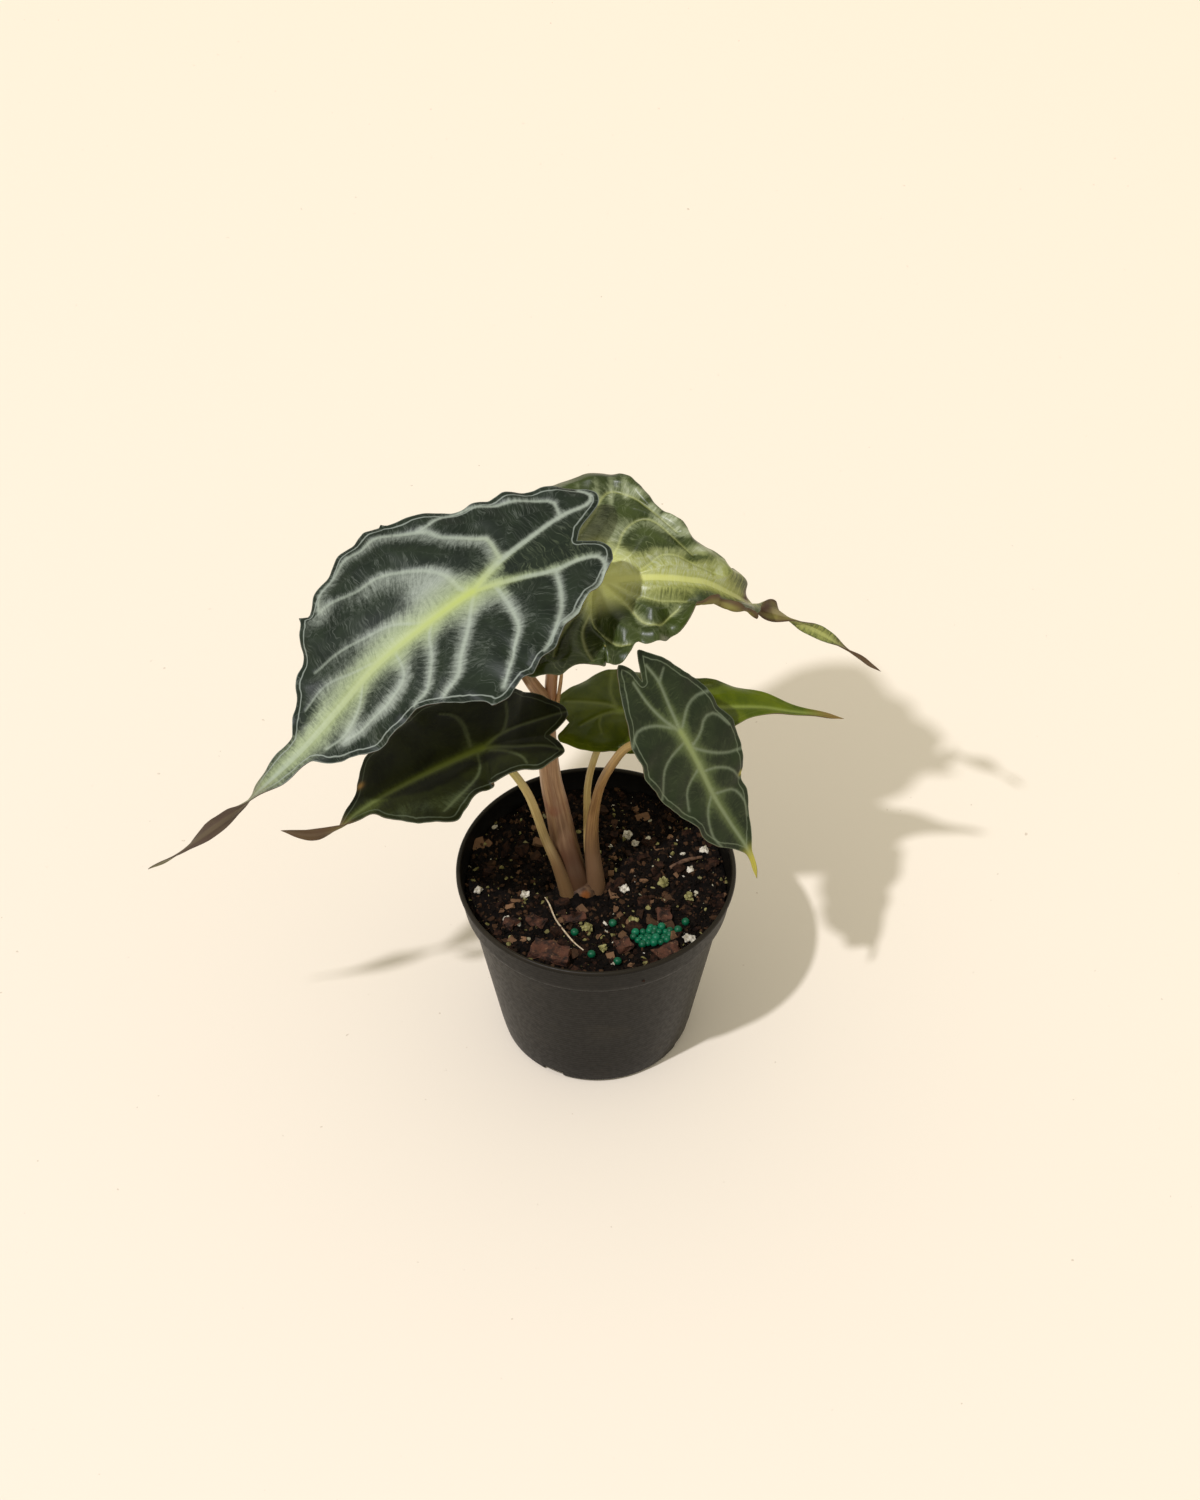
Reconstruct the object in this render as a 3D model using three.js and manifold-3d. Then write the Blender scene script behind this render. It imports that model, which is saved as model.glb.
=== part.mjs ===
import * as THREE from "three";
import { mergeVertices } from "three/addons/utils/BufferGeometryUtils.js";
import Module from "manifold-3d";

// A young alocasia in its nursery pot, in millimetres, +Z up.
// The origin is the middle of the pot's flat bottom. The large leaf points to -X, the viewer stands at -Y.

const wasm = await Module();
wasm.setup();

// Driving dimensions
const gap = 0.3;
const bladeThickness = 0.75;
const pot = {
  height: 90,
  wall: 1.4,
  floor: 2,
  baseRadius: 39.6,
  baseRound: 1.5,
  neckRadius: 52.2,
  collarHeight: 14,
  collarRadius: 54.6,
  rimRadius: 57,
  lipHeight: 2.4,
  sides: 48,
  slots: 4,
  slotTurn: -27,
  slotWidth: 9,
  slotDepth: 6,
  slotHeight: 3,
};
const soil = { level: 80.5, rings: 9, spokes: 40, lump: 0.9, mound: 1.6 };
const crown = { centre: [-6, -3.2], top: 86, bottom: 58, radius: 8.4 };
const prillRadius = 1.8;

const colours = {
  pot: 0x1c1b1b,
  soil: 0x2b1a12,
  crown: 0x8a6a4c,
  trunk: 0xb08a6c,
  paleStalk: 0xb8a868,
  brownStalk: 0xa07a55,
  bladeDark: 0x24382c,
  bladeBright: 0x6f8f3c,
  bladeOlive: 0x4c6618,
  perlite: 0xd8d4c4,
  bark: 0x6e3c28,
  prill: 0x0d8a5c,
  fibre: 0xb09468,
};

const radians = THREE.MathUtils.degToRad;
const group = new THREE.Group();
group.name = "potted_alocasia";

// Adds one piece to the model.
function addPiece(name, geometry, colour, roughness) {
  const material = new THREE.MeshStandardMaterial({ color: colour, roughness, metalness: 0 });
  const mesh = new THREE.Mesh(geometry, material);
  mesh.name = name;
  group.add(mesh);
}

// Solids: from a geometry, from lists of points and faces, and back to a geometry
function solidFrom(geometry) {
  const bare = new THREE.BufferGeometry().setAttribute("position", geometry.getAttribute("position"));
  if (geometry.index) bare.setIndex(geometry.index);
  const merged = mergeVertices(bare, 1e-4);
  return new wasm.Manifold(
    new wasm.Mesh({
      numProp: 3,
      vertProperties: new Float32Array(merged.attributes.position.array),
      triVerts: new Uint32Array(merged.index.array),
    }),
  );
}

function solidFromFaces(points, faces) {
  return new wasm.Manifold(
    new wasm.Mesh({
      numProp: 3,
      vertProperties: new Float32Array(points.flat()),
      triVerts: new Uint32Array(faces.flat()),
    }),
  );
}

function geometryFrom(solid) {
  const { vertProperties, triVerts } = solid.getMesh();
  const geometry = new THREE.BufferGeometry();
  geometry.setAttribute("position", new THREE.BufferAttribute(vertProperties, 3));
  geometry.setIndex(new THREE.BufferAttribute(triVerts, 1));
  geometry.computeVertexNormals();
  return geometry;
}

// The largest body of a solid that a cut has parted
function largest(solid) {
  return solid.decompose().reduce((best, body) => (body.volume() > best.volume() ? body : best));
}

// A repeatable draw between 0 and 1
function seededDraw(seed) {
  let state = seed;
  return () => {
    state = (state * 1664525 + 1013904223) % 4294967296;
    return state / 4294967296;
  };
}

// A smooth curve through rows of numbers, with marks as the distance at each row.
// It runs on straight past its ends.
function smoothCurve(rows, marks) {
  const last = rows.length - 1;
  const slopes = rows.map((row, i) => {
    const before = Math.max(i - 1, 0);
    const after = Math.min(i + 1, last);
    return row.map((_, k) => (rows[after][k] - rows[before][k]) / (marks[after] - marks[before]));
  });
  return (distance) => {
    let i = 0;
    while (i < last - 1 && distance > marks[i + 1]) i += 1;
    const span = marks[i + 1] - marks[i];
    const raw = (distance - marks[i]) / span;
    const u = THREE.MathUtils.clamp(raw, 0, 1);
    const end = raw > 1 ? i + 1 : i;
    const start = [2 * u ** 3 - 3 * u ** 2 + 1, (u ** 3 - 2 * u ** 2 + u) * span];
    const stop = [3 * u ** 2 - 2 * u ** 3, (u ** 3 - u ** 2) * span];
    return rows[i].map(
      (value, k) =>
        start[0] * value +
        start[1] * slopes[i][k] +
        stop[0] * rows[i + 1][k] +
        stop[1] * slopes[i + 1][k] +
        (raw - u) * span * slopes[end][k],
    );
  };
}

// The running length at each row of points, measured on the first few numbers of a row
function runningLength(rows, numbers) {
  const marks = [0];
  for (let i = 1; i < rows.length; i += 1) {
    const step = rows[i].slice(0, numbers).map((v, k) => v - rows[i - 1][k]);
    marks.push(marks[i - 1] + Math.hypot(...step));
  }
  return marks;
}

// A tapering stalk along rows of [x, y, z, radius], with flat ends
function stalkSolid(rows, { grow = 0, steps = 16, sides = 9 } = {}) {
  const marks = runningLength(rows, 3);
  const path = smoothCurve(rows, marks);
  const total = marks[marks.length - 1];
  const points = [];
  const faces = [];
  let across = new THREE.Vector3(1, 0, 0);
  for (let i = 0; i <= steps; i += 1) {
    const along = (total * i) / steps;
    const [x, y, z, radius] = path(along);
    const ahead = path(Math.min(along + 0.5, total));
    const behind = path(Math.max(along - 0.5, 0));
    const tangent = new THREE.Vector3(...ahead.slice(0, 3)).sub(new THREE.Vector3(...behind.slice(0, 3)));
    tangent.normalize();
    across = across.clone().addScaledVector(tangent, -across.dot(tangent)).normalize();
    const upright = tangent.clone().cross(across);
    for (let k = 0; k < sides; k += 1) {
      const angle = (2 * Math.PI * k) / sides;
      const reach = radius + grow;
      const point = new THREE.Vector3(x, y, z)
        .addScaledVector(across, reach * Math.cos(angle))
        .addScaledVector(upright, reach * Math.sin(angle));
      points.push(point.toArray());
    }
  }
  const ring = (i, k) => i * sides + (k % sides);
  for (let i = 0; i < steps; i += 1)
    for (let k = 0; k < sides; k += 1) {
      faces.push([ring(i, k), ring(i, k + 1), ring(i + 1, k + 1)]);
      faces.push([ring(i, k), ring(i + 1, k + 1), ring(i + 1, k)]);
    }
  for (let k = 1; k < sides - 1; k += 1) {
    faces.push([0, k + 1, k]);
    faces.push([ring(steps, 0), ring(steps, k), ring(steps, k + 1)]);
  }
  return solidFromFaces(points, faces);
}

// The pot: a tapering cup with a wider collar, a rolled lip and slots through its bottom edge
function wallRadius(z) {
  const neck = pot.height - pot.collarHeight;
  return z < neck
    ? THREE.MathUtils.lerp(pot.baseRadius, pot.neckRadius, z / neck)
    : THREE.MathUtils.lerp(pot.collarRadius, pot.rimRadius - 1, (z - neck) / pot.collarHeight);
}

function potSolid() {
  const neck = pot.height - pot.collarHeight;
  const top = pot.height;
  const profile = [
    [0, 0],
    [pot.baseRadius - pot.baseRound, 0],
    [pot.baseRadius, pot.baseRound],
    [pot.neckRadius, neck - 1.5],
    [pot.collarRadius, neck + 0.5],
    [pot.rimRadius - 1, top - pot.lipHeight],
    [pot.rimRadius, top - pot.lipHeight + 0.7],
    [pot.rimRadius - 0.2, top - 0.5],
    [pot.rimRadius - 0.9, top],
    [pot.rimRadius - 1.9, top - 0.6],
    [pot.collarRadius - pot.wall, neck + 1],
    [pot.neckRadius - pot.wall, neck - 1.5],
    [pot.baseRadius - pot.wall, pot.floor],
    [0, pot.floor],
  ].map(([radius, z]) => new THREE.Vector2(radius, z));
  const cup = new THREE.LatheGeometry(profile, pot.sides).rotateX(Math.PI / 2);
  let solid = solidFrom(cup);
  for (let i = 0; i < pot.slots; i += 1) {
    const slot = new THREE.BoxGeometry(pot.slotDepth, pot.slotWidth, pot.slotHeight * 2)
      .translate(pot.baseRadius, 0, 0)
      .rotateZ(radians(pot.slotTurn + (360 / pot.slots) * i));
    solid = solid.subtract(solidFrom(slot));
  }
  return solid;
}

// The soil's top, raised by lift: small lumps everywhere and a low mound at the plant's foot
function soilTop(x, y, lift = 0) {
  const lumps =
    Math.sin(0.31 * x + 1.3) * Math.sin(0.27 * y + 0.4) +
    0.6 * Math.sin(0.62 * x - 0.35 * y + 2) +
    0.4 * Math.sin(0.5 * y + 0.71 * x);
  const away = Math.hypot(x - crown.centre[0], y - crown.centre[1]);
  return soil.level + lift + soil.lump * lumps + soil.mound * Math.exp(-((away / 18) ** 2));
}

// A round block under the soil's top, down to bottom. Raised by lift, it seats what lies on the soil.
function soilBlock(lift, bottom) {
  const inner = (z) => wallRadius(z) - pot.wall - gap - 0.15;
  const points = [[0, 0, soilTop(0, 0, lift)]];
  const faces = [];
  const point = (ring, k) => (ring ? 1 + (ring - 1) * soil.spokes + (k % soil.spokes) : 0);
  for (let ring = 1; ring <= soil.rings; ring += 1)
    for (let k = 0; k < soil.spokes; k += 1) {
      const angle = (2 * Math.PI * k) / soil.spokes;
      const radius = (inner(soil.level) * ring) / soil.rings;
      const x = radius * Math.cos(angle);
      const y = radius * Math.sin(angle);
      points.push([x, y, soilTop(x, y, lift)]);
    }
  const levels = [pot.height - pot.collarHeight - 2, bottom];
  for (const z of levels)
    for (let k = 0; k < soil.spokes; k += 1) {
      const angle = (2 * Math.PI * k) / soil.spokes;
      points.push([inner(z) * Math.cos(angle), inner(z) * Math.sin(angle), z]);
    }
  const foot = points.push([0, 0, bottom]) - 1;
  const lastRing = soil.rings + levels.length;
  for (let k = 0; k < soil.spokes; k += 1) {
    faces.push([0, point(1, k), point(1, k + 1)]);
    faces.push([foot, point(lastRing, k + 1), point(lastRing, k)]);
    for (let ring = 1; ring < lastRing; ring += 1) {
      faces.push([point(ring, k), point(ring + 1, k), point(ring + 1, k + 1)]);
      faces.push([point(ring, k), point(ring + 1, k + 1), point(ring, k + 1)]);
    }
  }
  return solidFromFaces(points, faces);
}

// Leaf stalks, as rows of [x, y, z, radius] from the crown to the blade they carry
const stalks = {
  petiole_a: {
    colour: colours.trunk,
    carries: "leaf_a",
    steps: 22,
    sides: 12,
    rows: [
      [-7, -2.5, 75, 6.2],
      [-9.6, -0.8, 86, 6.1],
      [-12, 2, 96.5, 5.6],
      [-15.7, 6.2, 119, 4.8],
      [-18, 8.7, 132, 4.3],
      [-19, 11, 146, 3.8],
      [-19.4, 11.8, 164, 3.3],
      [-20.2, 11.4, 174, 2.9],
      [-25, 9.2, 186, 2.5],
      [-30.8, 6.5, 202, 2.3],
      [-37.8, 1.2, 223, 2.1],
      [-45, -8, 249, 1.8],
    ],
  },
  petiole_b: {
    colour: colours.trunk,
    carries: "leaf_b",
    steps: 14,
    sides: 10,
    rows: [
      [-18.6, 12, 150, 1.6],
      [-17.8, 13.3, 164, 2.2],
      [-17.6, 13.4, 177, 2.4],
      [-16.3, 13, 191, 2.3],
      [-10.6, 15.4, 210, 2.1],
      [-1, 20, 229, 1.7],
    ],
  },
  petiole_c: {
    colour: colours.paleStalk,
    carries: "leaf_c",
    steps: 16,
    sides: 9,
    rows: [
      [-10.5, -7.5, 76, 3.6],
      [-13, -6.4, 87, 2.9],
      [-16.4, -4.8, 99, 2.3],
      [-20.5, -3.4, 111, 1.9],
      [-23.7, -2.6, 124, 1.8],
      [-26.9, -2.9, 136, 1.7],
      [-31.7, -5, 149, 1.6],
      [-37, -8, 160, 1.5],
      [-43, -14, 173, 1.4],
    ],
  },
  petiole_e: {
    colour: colours.brownStalk,
    carries: "leaf_e",
    steps: 18,
    sides: 10,
    rows: [
      [0.3, -3.2, 76, 4.2],
      [-0.5, -2, 88, 3.6],
      [-1.6, 0.2, 101, 3],
      [-1.4, -0.9, 117, 2.4],
      [0.1, -3.4, 133, 1.9],
      [2.4, -5.8, 146, 1.8],
      [6.3, -9, 159, 1.8],
      [12, -12, 171.5, 1.7],
      [20.8, -15, 179, 1.6],
      [32, -18, 186, 1.5],
    ],
  },
  petiole_d: {
    colour: colours.paleStalk,
    carries: "leaf_d",
    steps: 14,
    sides: 9,
    rows: [
      [-2, 4.4, 77, 1.7],
      [-3.3, 4.8, 95, 1.6],
      [-3.6, 6, 114, 1.5],
      [-3.1, 7, 132, 1.4],
      [-0.4, 7.8, 146, 1.4],
      [2.4, 9.6, 153, 1.3],
      [9, 12.5, 167, 1.3],
    ],
  },
  young_stem: {
    colour: colours.paleStalk,
    steps: 8,
    sides: 7,
    rows: [
      [-15.6, 11.8, 158, 0.6],
      [-15, 12, 171, 0.8],
      [-13.5, 12.6, 184, 0.7],
      [-12.6, 13, 196, 0.4],
    ],
  },
};

// The crown, with its roots running down and out through the soil
const rootTurns = [20, 95, 160, 235, 300];
function crownSolid(grow) {
  const [x, y] = crown.centre;
  const profile = [
    [0, crown.bottom - grow],
    [4 + grow, crown.bottom - grow],
    [7.6 + grow, crown.bottom + 6],
    [crown.radius + grow, 73],
    [crown.radius - 0.4 + grow, 79],
    [6.6 + grow, 83],
    [4 + grow, crown.top + grow],
    [0, crown.top + grow],
  ].map(([radius, z]) => new THREE.Vector2(radius, z));
  let solid = solidFrom(new THREE.LatheGeometry(profile, 16).rotateX(Math.PI / 2).translate(x, y, 0));
  for (const turn of rootTurns) {
    const [c, s] = [Math.cos(radians(turn)), Math.sin(radians(turn))];
    const rows = [
      [x + 3 * c, y + 3 * s, 66, 1.6],
      [x + 14 * c, y + 14 * s, 58, 1.3],
      [x + 24 * c - 3 * s, y + 24 * s + 3 * c, 42, 1.1],
      [x + 28 * c - 5 * s, y + 28 * s + 5 * c, 24, 0.8],
    ];
    rows[3][2] -= grow;
    solid = solid.add(stalkSolid(rows, { grow, steps: 5, sides: 5 }));
  }
  return solid;
}

// A leaf is a midline of stations, and an outline laid out flat on it in millimetres.
// Station: [x, y, z, roll, lift left, lift right, bend left, bend right, straight], with angles in degrees
// and bends in degrees per 10 mm. The blade runs straight out for the last value before it bends.
// Outline rows are [along, across] from the attachment. They go from the notch between the lobes,
// round the lobe whose tip is row number turn, to the end of the drawn-out tip.
const leaves = {
  leaf_a: {
    colour: colours.bladeDark,
    rows: [11, 40],
    columns: 5,
    attach: 2,
    notch: -44,
    pucker: { height: 1.0, pitch: 19, slant: 0.5 },
    ripple: { height: 1.2, pitch: 15 },
    midline: [
      [4, 20, 256, 8, 4, 4, -2, -2],
      [-21, 4, 254, 8, 6, 6, -2, -2],
      [-45, -8, 249, 8, 8, 8, -3, -3],
      [-61, -18, 243, 8, 8, 8, -3, -3],
      [-80, -28, 231, 8, 8, 8, -3, -3],
      [-94, -36, 217, 8, 8, 8, -3, -3],
      [-108, -46, 205, 4, 8, 8, -3, -3],
      [-126, -58, 193, -31, 6, 6, 0, 0],
      [-144, -59, 175, -125, 3, 3, 0, 0],
      [-157, -58, 161, -211, 3, 3, 0, 0],
      [-170, -57, 151, -265, 3, 3, 0, 0],
    ],
    left: {
      turn: 3,
      outline: [
        [-44, 0], [-47, 2], [-51, 5], [-52.5, 10], [-49, 15.5], [-41, 21], [-32, 26], [-24, 31], [-14, 39],
        [-2, 43.5], [11, 44], [18, 46.2], [24, 40], [34, 31], [44, 27.3], [58, 27], [68, 24], [77, 18],
        [84, 11.5], [87, 7], [94, 6.5], [104, 6], [112, 4], [124, 3.2], [136, 3], [147, 2], [156, 1.3],
        [164, 1.3], [172, 0],
      ],
    },
    right: {
      turn: 4,
      outline: [
        [-44, 0], [-48.5, -4.5], [-55.5, -8], [-61, -11.5], [-62.5, -16], [-58, -21.5], [-48, -27],
        [-35, -32], [-22, -34], [-11, -35.3], [-1, -40.5], [7, -44.2], [11.5, -47], [17, -48], [28, -48.8],
        [36, -46.3], [45, -42], [53, -37.5], [55.5, -39], [58, -34], [64, -26], [72, -19], [80, -12],
        [85, -8], [87, -7], [95, -6.5], [104, -6], [112, -4], [124, -3.2], [136, -3], [147, -2],
        [156, -1.3], [164, -1.3], [172, 0],
      ],
    },
  },
  leaf_b: {
    colour: colours.bladeBright,
    rows: [9, 42],
    columns: 6,
    attach: 2,
    notch: -22,
    pucker: { height: 2.4, pitch: 17, slant: 0.4 },
    ripple: { height: 1.2, pitch: 13 },
    midline: [
      [-28, 14, 232, -22, 6, 6, -3, 3, 0],
      [-15, 16, 231, -22, 6, 6, -3, 3, 0],
      [-1, 20, 229, -24, 8, 4, -4, 4, 0],
      [20, 21, 230, -26, 8, 4, -4, 6, 0],
      [30, 22.4, 228.3, -27, 8, 4, -4, 10, 7],
      [35.5, 23.8, 226.2, -27, 8, 3, -4, 160, 9.5],
      [42, 26, 223, -28, 8, 2, -4, 185, 10],
      [51, 29, 215, -29, 8, 4, -6, 180, 8.5],
      [58, 34, 206, -24, 8, 6, -20, 130, 5],
      [61, 37, 202, 10, 4, 4, -10, 10, 3],
      [64, 40, 198, 60, 4, 4, 0, 0, 0],
      [69, 43, 192, 130, 3, 3, 0, 0, 0],
      [76, 44, 186, 217, 3, 3, 0, 0, 0],
      [89, 44, 179, 307, 3, 3, 0, 0, 0],
      [101, 43, 171, 397, 3, 3, 0, 0, 0],
      [114, 42, 160, 480, 3, 3, 0, 0, 0],
    ],
    left: {
      turn: 3,
      outline: [
        [-22, 0], [-29, 5], [-36, 10], [-40, 17], [-37, 26], [-29, 33.5], [-19, 38.5], [-9, 41], [0, 44.6],
        [7, 45.6], [14, 43.2], [20, 37.8], [25, 30.5], [31, 26], [38, 20], [44, 15], [51, 12], [58, 11.5],
        [66, 11.3], [71, 10], [75, 6.5], [78, 3.4], [84, 3.8], [90, 4.2], [99, 2.6], [106, 2.8],
        [114, 2.7], [128, 1.6], [136, 1.3], [145, 0],
      ],
    },
    right: {
      turn: 3,
      outline: [
        [-22, 0], [-27, -8], [-33, -16], [-37, -24], [-36.5, -32], [-32, -39], [-26, -42.5],
        [-20, -42], [-15, -37.5], [-11, -39.5], [-4, -40], [5, -38.5], [11.5, -35], [15.5, -29.5],
        [21, -28], [28, -25], [33.5, -20.5], [36.5, -18], [41, -20], [48, -20.5], [55, -18.5], [62, -14.5],
        [68, -9.5], [72, -6.5], [75, -4], [78, -3], [84, -3.8], [90, -4.2], [99, -2.6], [106, -2.8],
        [114, -2.7], [128, -1.6], [136, -1.3], [145, 0],
      ],
    },
  },
  leaf_c: {
    colour: colours.bladeDark,
    rows: [8, 30],
    columns: 4,
    attach: 2,
    notch: -28,
    pucker: { height: 0.6, pitch: 17, slant: 0.5 },
    ripple: { height: 0.8, pitch: 16 },
    midline: [
      [-14, -18, 185, 12, 5, 5, -3, -3],
      [-29, -15.5, 179.5, 12, 6, 6, -3, -3],
      [-43, -14, 173, 8, 6, 6, -3, -3],
      [-60, -22.5, 171, 3, 6, 6, -3, -3],
      [-80, -31, 165, 0, 6, 6, -3, -3],
      [-91, -37, 161, -10, 6, 6, -3, -3],
      [-97, -43, 160, -51, 5, 5, 0, 0],
      [-107, -49, 162, -130, 5, 5, 0, 0],
      [-119, -51.5, 167, -170, 5, 5, 0, 0],
    ],
    left: {
      turn: 2,
      outline: [
        [-28, 0], [-32.5, 4], [-35, 8.5], [-33, 11.5], [-26.8, 15.1], [-20, 15], [-13, 16.6], [-6, 18.4],
        [4, 18.8], [13, 19.6], [18, 23.5], [23, 27], [28, 25.2], [38, 18.2], [46, 11.5], [50, 5.5],
        [56, 4.2], [61, 3.2], [66, 2.4], [75, 2.2], [82, 1.4], [88, 0],
      ],
    },
    right: {
      turn: 2,
      outline: [
        [-28, 0], [-31.5, -3], [-34.5, -7.5], [-32, -13], [-25.7, -16.4], [-18.6, -20.3], [-10, -25],
        [4, -28.5], [18, -28.8], [30, -26], [39, -22], [44, -18.5], [48, -13], [51, -8], [55, -5.5],
        [60, -4], [66, -2.4], [75, -2.2], [82, -1.4], [88, 0],
      ],
    },
  },
  leaf_d: {
    colour: colours.bladeOlive,
    rows: [8, 28],
    columns: 4,
    attach: 2,
    notch: -20,
    pucker: { height: 0.9, pitch: 16, slant: 0.4 },
    ripple: { height: 0.9, pitch: 19 },
    midline: [
      [-15, 9, 162, 0, 6, -6, -4, -5],
      [-3, 11, 165, 0, 6, -6, -4, -5],
      [9, 12.5, 167, 0, 6, -6, -4, -5],
      [36, 12, 169, 0, 6, -4, -4, -5],
      [64, 15.5, 166, 0, 6, 2, -4, -4],
      [77, 16, 163, 0, 12, 12, 0, 0],
      [88, 16.5, 161, -10, 10, 10, 0, 0],
      [98, 16, 159, -60, 10, 10, 0, 0],
    ],
    left: {
      turn: 3,
      outline: [
        [-20, 0], [-22, 4.5], [-25, 8], [-28, 9.8], [-27, 11.8], [-20, 15.2], [-10, 20.5], [-2, 22.2],
        [9, 21], [22, 18.4], [34, 15.8], [46, 12.4], [56, 8.4], [66, 4.6], [75, 2.2], [83, 1.2], [90, 0],
      ],
    },
    right: {
      turn: 3,
      outline: [
        [-20, 0], [-23, -2.5], [-25.5, -4.5], [-25.5, -7], [-22.5, -9.5], [-18.8, -12.9], [-13.9, -15.9],
        [-9, -18], [-1, -19], [8, -20.7], [18, -20.5], [28, -17.5], [38, -12.8], [45.2, -9.5], [52, -5.3],
        [60, -3.5], [68, -2.2], [76, -1.4], [83, -1], [90, 0],
      ],
    },
  },
  leaf_e: {
    colour: colours.bladeDark,
    rows: [9, 28],
    columns: 4,
    attach: 2,
    notch: -26,
    pucker: { height: 0.6, pitch: 15, slant: 0.5 },
    ripple: { height: 0.7, pitch: 14 },
    midline: [
      [13, -9.5, 213, -20, 5, 5, -3, -3],
      [22, -14, 200, -20, 5, 5, -3, -3],
      [32, -18, 186, -20, 5, 5, -3, -3],
      [38.5, -21, 173, -20, 5, 5, -3, -3],
      [45.5, -24.5, 157, -20, 5, 5, -3, -3],
      [52, -27, 145, -20, 5, 5, -3, -3],
      [58, -29.5, 135, -25, 8, 8, -3, -3],
      [61, -31.5, 129, -40, 8, 8, 0, 0],
      [63, -33.5, 120, -60, 8, 8, 0, 0],
    ],
    left: {
      turn: 3,
      outline: [
        [-26, 0], [-30, 2], [-34, 4], [-36.5, 6], [-33, 8.7], [-27, 12.8], [-19, 15.8], [-10, 19],
        [-2, 20], [4, 19.8], [11, 22], [18, 21.5], [25, 19], [32, 17.2], [36, 14.6], [42, 14],
        [48, 10.5], [54, 6.5], [59, 3], [62, 1.4], [66, 1], [70, 0.9], [75, 0],
      ],
    },
    right: {
      turn: 2,
      outline: [
        [-26, 0], [-32, -0.5], [-37.5, -3.8], [-36, -6.5], [-31, -9], [-26, -11.5], [-20, -15.3],
        [-13, -19.5], [-5, -22], [4, -23], [12, -22.5], [20, -20.4], [28, -17.3], [35, -13.8],
        [41, -14], [48, -11.2], [54, -6.4], [59, -3], [62, -1.4], [66, -1], [70, -0.9], [75, 0],
      ],
    },
  },
};

// A point of a leaf's middle surface, along and across on the flat leaf, raised above it by relief
function leafSurface(leaf) {
  const marks = runningLength(leaf.midline, 3);
  const start = marks[leaf.attach];
  const midline = smoothCurve(leaf.midline, marks);
  return (along, across, relief) => {
    const here = midline(along + start);
    const ahead = midline(along + start + 0.5);
    const behind = midline(along + start - 0.5);
    const tangent = new THREE.Vector3(...ahead.slice(0, 3)).sub(new THREE.Vector3(...behind.slice(0, 3)));
    tangent.normalize();
    const normal = new THREE.Vector3(0, 0, 1).addScaledVector(tangent, -tangent.z).normalize();
    normal.applyAxisAngle(tangent, -radians(here[3]));
    const side = normal.clone().cross(tangent);
    const left = across >= 0;
    const lift = radians(here[left ? 4 : 5]);
    const bend = radians(here[left ? 6 : 7] / 10) || 1e-6;
    const straight = Math.min(Math.abs(across), Math.max(here[8] ?? 0, 0));
    const turned = lift + bend * (Math.abs(across) - straight);
    const outward =
      straight * Math.cos(lift) + (Math.sin(turned) - Math.sin(lift)) / bend - relief * Math.sin(turned);
    const upward =
      straight * Math.sin(lift) + (Math.cos(lift) - Math.cos(turned)) / bend + relief * Math.cos(turned);
    return new THREE.Vector3(...here.slice(0, 3))
      .addScaledVector(side, left ? outward : -outward)
      .addScaledVector(normal, upward);
  };
}

// Half a leaf as rows of flat points from the lobe's tip to the drawn-out tip.
// Each row goes from the inner edge outwards.
function halfRows(leaf, { outline, turn }) {
  const marks = runningLength(outline, 2);
  const edge = smoothCurve(outline, marks);
  const end = marks[marks.length - 1];
  const tip = outline[outline.length - 1][0];
  const inside = marks[turn] + tip - leaf.notch;
  const [lobeRows, bladeRows] = leaf.rows;
  const rows = [];
  for (let i = 0; i <= lobeRows + bladeRows; i += 1) {
    const walked =
      i <= lobeRows
        ? (marks[turn] * i) / lobeRows
        : marks[turn] + ((tip - leaf.notch) * (i - lobeRows)) / bladeRows;
    const inLobe = walked <= marks[turn];
    const inner = inLobe ? edge(marks[turn] - walked) : [leaf.notch + walked - marks[turn], 0];
    const outer = edge(marks[turn] + ((end - marks[turn]) * walked) / inside);
    const row = [];
    for (let k = 0; k <= leaf.columns; k += 1) {
      const share = k / leaf.columns;
      row.push([
        THREE.MathUtils.lerp(inner[0], outer[0], share),
        THREE.MathUtils.lerp(inner[1], outer[1], share),
        share,
      ]);
    }
    rows.push(row);
  }
  return rows;
}

// The height of the leaf's skin over its middle surface: puckers between the veins, ripples at the edge
function leafRelief(leaf, along, across, share) {
  const width = Math.abs(across);
  const fade = Math.min(1, width / 12);
  const between = Math.sin((Math.PI * (along - leaf.pucker.slant * width)) / leaf.pucker.pitch) ** 2;
  const edge = Math.sin((2 * Math.PI * (along + 0.3 * across)) / leaf.ripple.pitch);
  return fade * (leaf.pucker.height * (between - 0.5) + leaf.ripple.height * share ** 3 * edge);
}

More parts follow.
